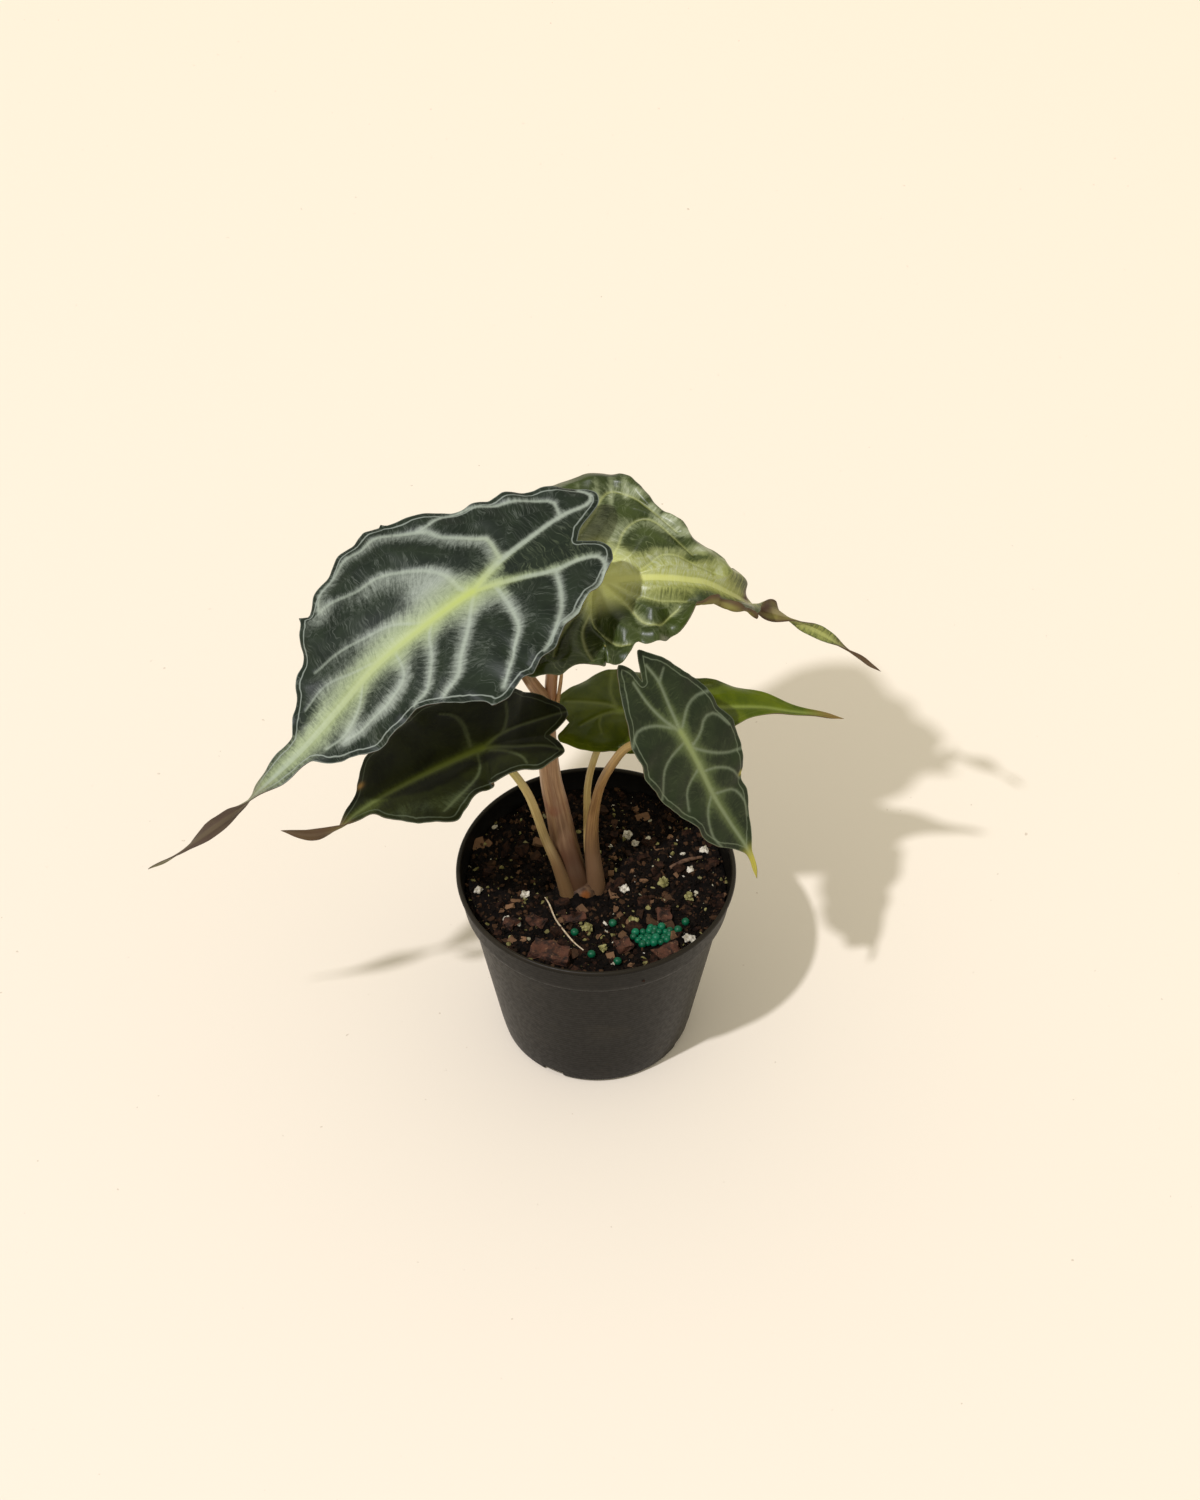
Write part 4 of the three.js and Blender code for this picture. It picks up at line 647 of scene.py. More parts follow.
darkLook = {
    "rough": 0.45, "shine": 0.2, "feather": 1.1, "speck": 0.7, "washFrom": 0.2, "washTo": 1.15, "web": 0.17,
    "deep": (17, 27, 17), "deepAlt": (28, 38, 25), "wash": (146, 154, 142), "washShare": 0.95,
    "heart": (150, 162, 124), "heartReach": 13.0, "frost": (176, 182, 170), "frostShare": 0.5,
    "vein": (158, 168, 152), "veinShare": 0.6, "glow": (168, 180, 94), "glowShare": 0.9,
    "margin": (140, 148, 138), "inset": 2.0, "insetShare": 0.8, "edgeHighlightShare": 0.6, "dry": (104, 96, 66),
    "joint": (170, 180, 130), "jointLightShare": 0.0,
}
brightLook = dict(
    darkLook, rough=0.34, shine=0.35, feather=1.9, speck=0.8, washFrom=0.15, washTo=1.05, web=0.35,
    deep=(38, 49, 11), deepAlt=(54, 66, 19), wash=(126, 134, 98), washShare=0.96, heart=(152, 156, 82),
    heartReach=17.0, frost=(176, 182, 154), frostShare=0.75, vein=(160, 164, 98), veinShare=0.5,
    glow=(204, 206, 120), margin=(100, 108, 76), inset=3.0, insetShare=0.15, edgeHighlightShare=0.5,
    # painted light: the pale joint colour lightens the shadow that leaf A casts on this blade
    dry=(84, 52, 42), joint=(226, 230, 146), jointLightShare=0.75)
# painted shade: leaf C's look has darker wash, veins and glow, for a blade that lies in leaf A's shadow
shadeLook = dict(
    darkLook, deep=(19, 22, 3), deepAlt=(30, 34, 5), wash=(88, 98, 66), heart=(86, 96, 40), washShare=0.5,
    frostShare=0.1, vein=(96, 104, 70), veinShare=0.5, glow=(104, 116, 32), margin=(110, 120, 96),
    insetShare=0.3, web=0.1, shine=0.12, dry=(158, 120, 62))
oliveLook = dict(
    darkLook, deep=(64, 78, 0), deepAlt=(84, 96, 0), wash=(104, 114, 34), heart=(120, 132, 44),
    washShare=0.45, frostShare=0.1, vein=(138, 148, 80), veinShare=0.45, glow=(132, 148, 56),
    margin=(128, 134, 70), insetShare=0.1, web=0.15, rough=0.36, shine=0.22, dry=(120, 92, 50))
matteLook = dict(
    darkLook, deep=(27, 36, 17), deepAlt=(36, 46, 23), wash=(84, 94, 66), heart=(92, 104, 62),
    washShare=0.7, frostShare=0.25, vein=(126, 136, 112), glow=(134, 146, 84), margin=(118, 128, 102),
    insetShare=0.5, web=0.25, rough=0.5, dry=(170, 160, 60))
purpleBack = undersideFinish("purple leaf back", (64, 42, 36), (92, 82, 56), (70, 56, 44))
oliveBack = undersideFinish("olive leaf back", (124, 118, 60), (108, 96, 52), (74, 50, 36))

for name, leaf, slot, look, back in (
    ("leaf_a", leafA, "dark_blade", darkLook, purpleBack),
    ("leaf_b", leafB, "bright_blade", brightLook, oliveBack),
    ("leaf_c", leafC, "dark_blade", shadeLook, oliveBack),
    ("leaf_d", leafD, "olive_blade", oliveLook, oliveBack),
    ("leaf_e", leafE, "dark_blade", matteLook, oliveBack),
):
    piece = leafPiece(name + "_blade", leaf, slot, [bladeFinish(name + " top", look), back])
    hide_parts(name)
    print(name, "made,", len(piece.data.polygons), "faces")


# Geometry Nodes trees: sockets by name, run on a source object, back to a plain mesh
def newTree(name, sockets):
    tree = bpy.data.node_groups.new(name, "GeometryNodeTree")
    tree.interface.new_socket("Geometry", in_out="OUTPUT", socket_type="NodeSocketGeometry")
    for label, kind in {"Geometry": "Geometry", **sockets, "Finish": "Material"}.items():
        tree.interface.new_socket(label, in_out="INPUT", socket_type="NodeSocket" + kind)
    return tree, tree.nodes.new("NodeGroupInput").outputs


def endTree(tree, geometry, finish, smooth):
    shaded = addNode(tree, "GeometryNodeSetShadeSmooth", {"Geometry": geometry, "Shade Smooth": smooth})
    whole = addNode(tree, "GeometryNodeRealizeInstances", {"Geometry": shaded})
    dressed = addNode(tree, "GeometryNodeSetMaterial", {"Geometry": whole, "Material": finish})
    addNode(tree, "NodeGroupOutput", {0: dressed})
    return tree


def store(tree, geometry, name, value, domain="POINT"):
    return addNode(tree, "GeometryNodeStoreNamedAttribute",
                   {"Geometry": geometry, "Name": name, "Value": value}, domain=domain)


def stored(tree, name):
    return addNode(tree, "GeometryNodeInputNamedAttribute", {"Name": name})


def chance(tree, low, high, seed):  # a number or a vector, drawn anew for each point
    if isinstance(low, tuple):
        return addNode(tree, "FunctionNodeRandomValue", {0: low, 1: high, "Seed": seed},
                       data_type="FLOAT_VECTOR")
    return addNode(tree, "FunctionNodeRandomValue", {2: low, 3: high, "Seed": seed}, 1, data_type="FLOAT")


def bakedMesh(source, name):  # what a source object's modifier makes of it
    view = bpy.context.evaluated_depsgraph_get()
    mesh = bpy.data.meshes.new_from_object(source.evaluated_get(view), preserve_all_data_layers=True,
                                           depsgraph=view)
    source.modifiers.clear()
    bpy.data.objects.remove(source)
    mesh.name = name
    return mesh


def growMesh(name, source, tree, values):
    carrier = addObject(name + " source", source)
    modifier = carrier.modifiers.new(tree.name, "NODES")
    modifier.node_group = tree
    for item in tree.interface.items_tree:
        if item.in_out == "INPUT" and item.name in values:
            modifier[item.identifier] = values[item.name]
    return bakedMesh(carrier, name)


# stalk tree: a round tube along a line of points, with lengthwise ridges and small bumps
def stalkTree():
    tree, given = newTree("stalk", {"Sides": "Int", "Ridges": "Float", "Ridge Depth": "Float",
                                    "Bump Depth": "Float"})
    curve = addNode(tree, "GeometryNodeMeshToCurve", {0: given["Geometry"]})
    curve = store(tree, curve, "run", addNode(tree, "GeometryNodeSplineParameter", output="Length"))
    ring = addNode(tree, "GeometryNodeCurvePrimitiveCircle", {"Resolution": given["Sides"], "Radius": 1.0})
    ring = store(tree, ring, "around", addNode(tree, "GeometryNodeSplineParameter", output="Factor"))
    tube = addNode(tree, "GeometryNodeCurveToMesh", {"Curve": curve, "Profile Curve": ring,
                                                     "Scale": stored(tree, "thick"), "Fill Caps": True})
    phase = calc(tree, "MULTIPLY", calc(tree, "MULTIPLY", stored(tree, "around"), given["Ridges"]),
                 2 * math.pi)
    ridge = calc(tree, "MULTIPLY", calc(tree, "SINE", phase), given["Ridge Depth"])
    place = addNode(tree, "GeometryNodeInputPosition")
    bumps = calc(tree, "SUBTRACT", grain(tree, place, 220.0, 2.0), 0.5)
    push = calc(tree, "MULTIPLY_ADD", bumps, given["Bump Depth"], ridge)
    shift = vectorCalc(tree, "SCALE", {0: addNode(tree, "GeometryNodeInputNormal"), "Scale": push})
    moved = addNode(tree, "GeometryNodeSetPosition", {"Geometry": tube, "Offset": shift})
    return endTree(tree, moved, given["Finish"], True)


# a tube along rows of x, y, z and radius
def growTube(name, ending, rows, step, form, finish):
    marks = runningLength(rows, 3)
    points = smoothCurve(rows, marks)(np.linspace(0, marks[-1], int(marks[-1] / step) + 2))
    path = newMesh(name, points[:, :3], edges=[(i, i + 1) for i in range(len(points) - 1)])
    setField(path, "thick", points[:, 3] * mm)
    return growMesh(name + ending, path, tubeTree, {
        "Sides": form["sides"], "Ridges": float(form["ridges"]), "Ridge Depth": form["ridgeDepth"] * mm,
        "Bump Depth": form["bumps"] * mm, "Finish": finish})


def stalkFinish(name, look):
    material, tree, place = newFinish(name, 0.42, 0.45)
    run, turn = field(tree, "run"), calc(tree, "MULTIPLY", field(tree, "around"), 2 * math.pi)
    ring = combine(tree, calc(tree, "COSINE", turn), calc(tree, "SINE", turn),
                   calc(tree, "MULTIPLY", run, 14.0))
    streaks = grain(tree, ring, 3.2, 4.0, 0.65)
    colour = layered(
        tree, look["low"], (between(tree, streaks, 0.34, 0.66), look["high"]),
        (between(tree, grain(tree, ring, 9.0, 3.0, 0.6), 0.55, 0.7, 0.0, 0.35), look["red"]),
        (between(tree, grain(tree, place, 60.0), 0.5, 0.68, 0.0, look["blush"]), look["red"]),
        (between(tree, run, look["topFrom"] * mm, look["topTo"] * mm), look["top"]),
        # the foot colour over the lowest few cm; where it is dark, it is painted shade
        (between(tree, run, 0.018, 0.058, 0.92, 0.0), look["foot"]))
    return finished(material, colour, streaks, 0.0003, 0.5)


# rows: x, y, z and radius of each stalk, from its foot up; top and foot are the colours of its ends; the
# dark feet of petiole_a, petiole_c and petiole_e are painted shade near the soil
stalks = {
    "petiole_a": {
        "slot": "trunk_stalk", "sides": 40, "ridges": 7, "ridgeDepth": 0.1, "bumps": 0.25,
        "low": (140, 104, 74), "high": (184, 148, 112), "red": (136, 66, 46), "blush": 0.5,
        "foot": (68, 44, 26), "top": (150, 160, 96), "topFrom": 110, "topTo": 190,
        "rows": [(-7, -2.5, 75, 6.2), (-9.6, -0.8, 86, 6.1), (-12, 2, 96.5, 5.6), (-15.7, 6.2, 119, 4.8),
            (-18, 8.7, 132, 4.3), (-19, 11, 146, 3.8), (-19.4, 11.8, 164, 3.3), (-20.2, 11.4, 174, 2.9),
            (-25, 9.2, 186, 2.5), (-30.8, 6.5, 202, 2.3), (-37.8, 1.2, 223, 2.1), (-45, -8, 248, 1.7)],
    },
    "petiole_b": {
        "slot": "trunk_stalk", "sides": 32, "ridges": 6, "ridgeDepth": 0.06, "bumps": 0.15,
        "low": (150, 108, 74), "high": (186, 150, 112), "red": (150, 84, 64), "blush": 0.4,
        "foot": (160, 116, 84), "top": (170, 180, 100), "topFrom": 30, "topTo": 75,
        "rows": [(-18.6, 12, 150, 1.6), (-17.8, 13.3, 164, 2.2), (-17.6, 13.4, 177, 2.4),
            (-16.3, 13, 191, 2.3), (-10.6, 15.4, 210, 2.1), (-1, 20, 228, 1.6)],
    },
    "petiole_c": {
        "slot": "pale_stalk", "sides": 28, "ridges": 5, "ridgeDepth": 0.05, "bumps": 0.12,
        "low": (176, 152, 96), "high": (206, 186, 130), "red": (150, 120, 80), "blush": 0.25,
        "foot": (98, 70, 44), "top": (160, 165, 80), "topFrom": 60, "topTo": 110,
        "rows": [(-10.5, -7.5, 76, 3.6), (-13, -6.4, 87, 2.9), (-16.4, -4.8, 99, 2.3),
            (-20.5, -3.4, 111, 1.9), (-23.7, -2.6, 124, 1.8), (-26.9, -2.9, 136, 1.7),
            (-31.7, -5, 149, 1.6), (-37, -8, 160, 1.5), (-43, -14, 172.2, 1.3)],
    },
    "petiole_e": {
        "slot": "brown_stalk", "sides": 32, "ridges": 6, "ridgeDepth": 0.06, "bumps": 0.15,
        "low": (120, 88, 52), "high": (160, 126, 78), "red": (110, 68, 42), "blush": 0.35,
        "foot": (104, 78, 55), "top": (150, 130, 70), "topFrom": 70, "topTo": 130,
        "rows": [(0.3, -3.2, 76, 4.2), (-0.5, -2, 88, 3.6), (-1.6, 0.2, 101, 3), (-1.4, -0.9, 117, 2.4),
            (0.1, -3.4, 133, 1.9), (2.4, -5.8, 146, 1.8), (6.3, -9, 159, 1.8), (12, -12, 171.5, 1.7),
            (20.8, -15, 179, 1.6), (31.4, -17.8, 185.2, 1.4)],
    },
    "petiole_d": {
        "slot": "pale_stalk", "sides": 28, "ridges": 5, "ridgeDepth": 0.04, "bumps": 0.1,
        "low": (176, 154, 96), "high": (204, 186, 126), "red": (150, 110, 70), "blush": 0.3,
        "foot": (190, 160, 104), "top": (150, 150, 70), "topFrom": 60, "topTo": 95,
        "rows": [(-2, 4.4, 77, 1.7), (-3.3, 4.8, 95, 1.6), (-3.6, 6, 114, 1.5), (-3.1, 7, 132, 1.4),
            (-0.4, 7.8, 146, 1.4), (2.4, 9.6, 153, 1.3), (9, 12.5, 166.2, 1.2)],
    },
    "young_stem": {
        "slot": "pale_stalk", "sides": 18, "ridges": 3, "ridgeDepth": 0.02, "bumps": 0.05,
        "low": (180, 150, 90), "high": (206, 180, 120), "red": (160, 110, 70), "blush": 0.3,
        "foot": (170, 130, 84), "top": (190, 165, 100), "topFrom": 20, "topTo": 40,
        "rows": [(-15.6, 11.8, 158, 0.6), (-15, 12, 171, 0.8), (-13.5, 12.6, 184, 0.7),
            (-12.6, 13, 196, 0.4)],
    },
}
tubeTree = stalkTree()
for name, stalk in stalks.items():
    mesh = growTube(name, "_stalk", stalk["rows"], 1.0, stalk, stalkFinish(name + " skin", stalk))
    addPiece(name + "_stalk", mesh, [name], stalk["slot"])
print("stalks grown")

# pot: a lathe profile with slots cut through the bottom edge
pot = {
    "height": 90, "wall": 1.4, "floor": 2, "baseRadius": 39.6, "neckRadius": 52.2, "collarHeight": 14,
    "collarRadius": 54.6, "rimRadius": 57, "turns": 160, "slots": 4, "slotTurn": -27,
    "slotSize": (6, 9, 6), "sharpAngle": 35, "ringPitch": 1.6, "rimHighlightFrom": 88.6, "rimHighlightTo": 89.8,
    "colour": (12, 10, 7), "dust": (50, 44, 32), "rimHighlight": (92, 82, 62),
}


def wallRadius(z):
    neck = pot["height"] - pot["collarHeight"]
    if z < neck:
        return pot["baseRadius"] + (pot["neckRadius"] - pot["baseRadius"]) * z / neck
    flare = (pot["rimRadius"] - 1 - pot["collarRadius"]) / pot["collarHeight"]
    return pot["collarRadius"] + flare * (z - neck)


def circlePoints(radii, heights, count):
    angles = np.linspace(0, 2 * np.pi, count, endpoint=False)
    return np.stack([np.outer(radii, np.cos(angles)), np.outer(radii, np.sin(angles)),
                     np.repeat(np.reshape(heights, (-1, 1)), count, axis=1)], axis=2).reshape(-1, 3)


def lathe(profile, turns):
    profile = np.asarray(profile, float)
    rings = profile[1:-1]
    points = np.concatenate([[[0, 0, profile[0, 1]]], [[0, 0, profile[-1, 1]]],
                             circlePoints(rings[:, 0], rings[:, 1], turns)])
    at = lambda i, k: 2 + i * turns + k % turns
    faces = [(0, at(0, k + 1), at(0, k)) for k in range(turns)]
    faces += [(1, at(len(rings) - 1, k), at(len(rings) - 1, k + 1)) for k in range(turns)]
    faces += [(at(i, k), at(i, k + 1), at(i + 1, k + 1), at(i + 1, k))
              for i in range(len(rings) - 1) for k in range(turns)]
    return points, faces


def potPiece():
    top, rim, base, collar = pot["height"], pot["rimRadius"], pot["baseRadius"], pot["collarRadius"]
    neck, neckRadius, wall = top - pot["collarHeight"], pot["neckRadius"], pot["wall"]
    profile = [(0, 0), (base - 1.5, 0), (base - 0.75, 0.2), (base - 0.2, 0.75), (base, 1.5)]
    profile += [(base + (neckRadius - base) * z / (neck - 1.5), z) for z in np.linspace(8, neck - 1.5, 14)]
    profile += [(neckRadius + 1.0, neck - 1.0), (collar - 0.5, neck - 0.2), (collar, neck + 0.5)]
    profile += [(collar + (rim - 1 - collar) * z / 11.6, neck + z) for z in np.linspace(2, 11.6, 8)]
    lip = [(0.3, 2.1), (0, 1.7), (0, 1.0), (0.2, 0.45), (0.6, 0.1), (0.95, 0), (1.4, 0.1), (1.8, 0.6),
           (1.9, 1.2)]
    profile += [(rim - inward, top - down) for inward, down in lip]
    profile += [(collar - wall, neck + 1), (neckRadius - wall, neck - 1.5), (base - wall, pot["floor"]),
                (0, pot["floor"])]
    source = addObject("pot source", newMesh("pot", *lathe(profile, pot["turns"])))
    cutter = bmesh.new()
    for i in range(pot["slots"]):
        turn = math.radians(pot["slotTurn"] + 360 / pot["slots"] * i)
        box = bmesh.ops.create_cube(cutter, size=1.0)["verts"]
        bmesh.ops.scale(cutter, verts=box, vec=Vector(pot["slotSize"]) * mm)
        bmesh.ops.translate(cutter, verts=box, vec=Vector((base, 0, 0)) * mm)
        for v in box:
            x, y = v.co.x, v.co.y
            v.co.x, v.co.y = x * math.cos(turn) - y * math.sin(turn), x * math.sin(turn) + y * math.cos(turn)
    cutMesh = bpy.data.meshes.new("slots")
    cutter.to_mesh(cutMesh)
    cutter.free()
    slots = addObject("slots", cutMesh)
    cut = source.modifiers.new("slots", "BOOLEAN")
    cut.object, cut.operation, cut.solver = slots, "DIFFERENCE", "EXACT"
    mesh = bakedMesh(source, "pot_shell")
    bpy.data.objects.remove(slots)
    mesh.shade_smooth()
    mesh.set_sharp_from_angle(angle=math.radians(pot["sharpAngle"]))
    return addPiece("pot_shell", mesh, ["pot"], "pot", [potFinish()])


def potFinish():
    material, tree, place = newFinish("black nursery plastic", 0.42, 0.15)
    height = addNode(tree, "ShaderNodeSeparateXYZ", {0: place}, 2)
    rings = calc(tree, "SINE", calc(tree, "MULTIPLY", height, 2 * math.pi / (pot["ringPitch"] * mm)))
    scuffs = grain(tree, stretch(tree, place, (1, 1, 7)), 90.0, 4.0, 0.7, 1.5)
    colour = layered(
        tree, pot["colour"],
        (between(tree, grain(tree, place, 40.0, 4.0, 0.6), 0.5, 0.78, 0.0, 0.3), pot["dust"]),
        (between(tree, scuffs, 0.6, 0.72, 0.0, 0.35), pot["dust"]),
        # painted highlight: a lighter band round the top of the rim
        (between(tree, height, pot["rimHighlightFrom"] * mm, pot["rimHighlightTo"] * mm, 0.0, 0.12), pot["rimHighlight"]))
    fine = grain(tree, place, 500.0, 2.0)
    skin = tree.nodes["Principled BSDF"]
    tree.links.new(between(tree, fine, 0.3, 0.7, 0.38, 0.48), skin.inputs["Roughness"])
    return finished(material, colour, calc(tree, "MULTIPLY_ADD", rings, 0.3, fine), 0.00005, 0.4)


potPiece()
print("pot turned")

# soil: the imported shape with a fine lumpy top; no crumbs fall where the crown and the prill heap are
soil = {
    "level": 80.5, "lump": 0.9, "mound": 1.6, "moundReach": 18, "bottom": 2.3, "rings": 84, "spokes": 190,
    "centre": (-6, -3.2), "rough": 0.9, "roughScale": 0.45, "calmEdge": 2, "drop": 0.2, "wallGap": 0.45,
    "busy": [(-6, -3.2, 9.5), (22.5, -29.7, 7)],
}


def soilTop(x, y):
    lumps = (np.sin(0.31 * x + 1.3) * np.sin(0.27 * y + 0.4) + 0.6 * np.sin(0.62 * x - 0.35 * y + 2)
             + 0.4 * np.sin(0.5 * y + 0.71 * x))
    away = np.hypot(x - soil["centre"][0], y - soil["centre"][1])
    return soil["level"] + soil["lump"] * lumps + soil["mound"] * bell(away / soil["moundReach"])


def soilRadius(z):
    return wallRadius(z) - pot["wall"] - soil["wallGap"]


def soilPoints(spokes, rings):
    edge = soilRadius(soil["level"])
    x, y = circlePoints(edge * np.arange(1, rings + 1) / rings, np.zeros(rings), spokes)[:, :2].T
    x, y = np.concatenate([[0], x]), np.concatenate([[0], y])
    fine = soil["roughScale"]
    rough = np.array([noise.fractal(Vector((a * fine, b * fine, 3.1)), 0.9, 2.2, 4) for a, b in zip(x, y)])
    calm = np.clip((edge - np.hypot(x, y)) / soil["calmEdge"], 0, 1)
    return np.stack([x, y, soilTop(x, y) + soil["rough"] * rough * calm - soil["drop"]], axis=1)


def diskFaces(spokes, rings):
    at = lambda ring, k: 1 + (ring - 1) * spokes + k % spokes if ring else 0
    faces = [(0, at(1, k), at(1, k + 1)) for k in range(spokes)]
    faces += [(at(r, k), at(r + 1, k), at(r + 1, k + 1), at(r, k + 1))
              for r in range(1, rings) for k in range(spokes)]
    return faces, at


def soilFinish(name, dark, light, pale):
    material, tree, place = newFinish(name, 0.85, 0.1)
    mottle = grain(tree, place, 420.0, 4.0, 0.65)
    colour = layered(tree, dark, (between(tree, mottle, 0.35, 0.7), light),
                     (between(tree, field(tree, "tone"), 0.62, 1.0, 0.0, 0.8), pale))
    return finished(material, colour, grain(tree, place, 1500.0), 0.0004, 0.7)


spokes, rings = soil["spokes"], soil["rings"]
points = soilPoints(spokes, rings)
top = newMesh("soil top", points, diskFaces(spokes, rings)[0])
room = np.ones(len(points))
for x, y, reach in soil["busy"]:
    room = np.minimum(room, awayFrom(points, x, y) > reach)
setField(top, "room", room)
levels = [pot["height"] - pot["collarHeight"] - 2, soil["bottom"]]
wallPoints = circlePoints([soilRadius(z) for z in levels], levels, spokes)
blockPoints = np.concatenate([points, wallPoints, [[0, 0, soil["bottom"]]]])
foot, last = len(blockPoints) - 1, rings + len(levels)
blockFaces, at = diskFaces(spokes, last)
blockFaces += [(foot, at(last, k + 1), at(last, k)) for k in range(spokes)]
addPiece("soil_block", newMesh("soil_block", blockPoints, blockFaces), ["soil"], "soil",
         [soilFinish("dark peat", (6, 4, 3), (17, 11, 7), (36, 25, 17))])


# crumb tree: rough grains or chips strewn over a surface, each turned, sized and toned by chance
def crumbTree():
    tree, given = newTree("crumbs", {"Density": "Float", "Small": "Float", "Large": "Float",
                                     "Flatness": "Float", "Lumps": "Float", "Lump Scale": "Float",
                                     "Chips": "Bool", "Seed": "Int"})
    density = calc(tree, "MULTIPLY", stored(tree, "room"), given["Density"])
    spots = addNode(tree, "GeometryNodeDistributePointsOnFaces",
                    {"Mesh": given["Geometry"], "Density": density, "Seed": given["Seed"]})
    ball = addNode(tree, "GeometryNodeMeshIcoSphere", {"Radius": 1.0, "Subdivisions": 1})
    block = addNode(tree, "GeometryNodeMeshCube", {"Size": (1.7, 1.7, 1.7), "Vertices X": 3, "Vertices Y": 2,
                                                   "Vertices Z": 2})
    shape = addNode(tree, "GeometryNodeSwitch", {0: given["Chips"], 1: ball, 2: block},
                    input_type="GEOMETRY")
    few = calc(tree, "POWER", chance(tree, 0.0, 1.0, given["Seed"]), 2.2)  # mostly small ones
    size = addNode(tree, "ShaderNodeMapRange", {0: few, 3: given["Small"], 4: given["Large"]})
    skew = chance(tree, (0.45, 0.6, 0.5), (1.1, 1.5, 1.0), 5)
    form = vectorCalc(tree, "MULTIPLY", {0: skew, 1: combine(tree, 1.0, 1.0, given["Flatness"])})
    turn = chance(tree, (-0.7, -0.7, 0.0), (0.7, 0.7, 6.28), 9)
    turn = addNode(tree, "FunctionNodeEulerToRotation", {0: turn})
    scale = vectorCalc(tree, "SCALE", {0: form, "Scale": size})
    grains = addNode(tree, "GeometryNodeInstanceOnPoints",
                     {"Points": spots, "Instance": shape, "Rotation": turn, "Scale": scale})
    toned = store(tree, grains, "tone", chance(tree, 0.0, 1.0, 21), "INSTANCE")
    solid = addNode(tree, "GeometryNodeRealizeInstances", {"Geometry": toned})
    place = addNode(tree, "GeometryNodeInputPosition")
    texture = addNode(tree, "ShaderNodeTexNoise",
                      {"Vector": place, "Scale": given["Lump Scale"], "Detail": 2.0}, 1)
    centred = vectorCalc(tree, "SUBTRACT", {0: texture, 1: (0.5, 0.5, 0.5)})
    shift = vectorCalc(tree, "SCALE", {0: centred, "Scale": given["Lumps"]})
    rough = addNode(tree, "GeometryNodeSetPosition", {"Geometry": solid, "Offset": shift})
    return endTree(tree, rough, given["Finish"], False)


crumbs = {
    "peat_crumbs": {"Density": 520000.0, "Small": 0.3, "Large": 1.5, "Flatness": 0.8, "Lumps": 1.6,
                    "Lump Scale": 700.0, "Chips": False, "Seed": 3, "slot": "soil",
                    "colours": ((7, 5, 3), (30, 20, 13), (78, 55, 36))},
    "bark_bits": {"Density": 44000.0, "Small": 0.6, "Large": 3.0, "Flatness": 0.5, "Lumps": 2.6,
                  "Lump Scale": 420.0, "Chips": True, "Seed": 8, "slot": "bark",
                  "colours": ((18, 11, 8), (58, 37, 25), (134, 102, 74))},
    "perlite_specks": {"Density": 36000.0, "Small": 0.25, "Large": 1.5, "Flatness": 0.8, "Lumps": 1.9,
                       "Lump Scale": 900.0, "Chips": False, "Seed": 14, "slot": "perlite",
                       "colours": ((96, 90, 48), (148, 142, 92), (226, 220, 204))},
}
strewTree = crumbTree()
for name, crumb in crumbs.items():
    values = {key: value * mm if key in ("Small", "Large", "Lumps") else value
              for key, value in crumb.items() if key not in ("slot", "colours")}
    values["Finish"] = soilFinish(name + " finish", *crumb["colours"])
    mesh = growMesh(name, top.copy(), strewTree, values)
    addPiece(name, mesh, [], crumb["slot"])
    print(name, len(mesh.polygons), "faces")
bpy.data.meshes.remove(top)


# what lies loose on the soil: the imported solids, cut finer and roughened
def roughCopy(node, cuts, scale, seed, depth=1.5):
    shape = bmesh.new()
    shape.from_mesh(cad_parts[node].data)
    bmesh.ops.remove_doubles(shape, verts=shape.verts, dist=1e-6)
    bmesh.ops.subdivide_edges(shape, edges=shape.edges[:], cuts=cuts, use_grid_fill=True, smooth=0.0)
    bmesh.ops.triangulate(shape, faces=shape.faces[:])
    shape.normal_update()
    start = Vector((seed, 0, 0))
    moves = [v.normal * (noise.noise(v.co * scale + start) - 0.25) * depth * mm for v in shape.verts]
    for v, move in zip(shape.verts, moves):
        v.co += move
    mesh = bpy.data.meshes.new(node)
    shape.to_mesh(mesh)
    shape.free()
    mesh.materials.clear()
    return mesh


def looseFinish(name, low, high, pale, scale):
    material, tree, place = newFinish(name, 0.85, 0.3)
    mottle = grain(tree, place, scale, 4.0, 0.65, 0.6)
    colour = layered(tree, low, (between(tree, mottle, 0.35, 0.65), high),
                     (between(tree, grain(tree, place, scale * 3), 0.58, 0.75, 0.0, 0.7), pale))
    return finished(material, colour, mottle, 0.0006, 0.6)


barkFinish = looseFinish("reddish bark", (28, 18, 12), (82, 50, 34), (128, 94, 66), 260.0)
perliteFinish = looseFinish("perlite", (150, 142, 120), (222, 216, 200), (170, 164, 120), 330.0)
mossyFinish = looseFinish("mossy perlite", (92, 88, 42), (158, 152, 98), (196, 190, 150), 330.0)
chips = {"bark": 7, "perlite": 13, "mossy": (1, 3, 4, 7, 8)}
for i in range(1, chips["bark"] + 1):
    node = f"bark_chip_{i}"
    addPiece(f"bark_{i}", roughCopy(node, 6, 330.0, i), [node], "bark", [barkFinish])
for i in range(1, chips["perlite"] + 1):
    node = f"perlite_{i}"
    addPiece(f"perlite_grain_{i}", roughCopy(node, 4, 620.0, i * 3), [node], "perlite",
             [mossyFinish if i in chips["mossy"] else perliteFinish])


# prill tree: a ball on every point
def prillTree():
    tree, given = newTree("prills", {"Radius": "Float"})
    spots = addNode(tree, "GeometryNodeMeshToPoints", {0: given["Geometry"]})
    ball = addNode(tree, "GeometryNodeMeshIcoSphere", {"Radius": given["Radius"], "Subdivisions": 4})
    balls = addNode(tree, "GeometryNodeInstanceOnPoints",
                    {"Points": spots, "Instance": ball, "Scale": chance(tree, 0.68, 1.0, 4)})
    toned = store(tree, balls, "tone", chance(tree, 0.0, 1.0, 2), "INSTANCE")
    return endTree(tree, toned, given["Finish"], True)


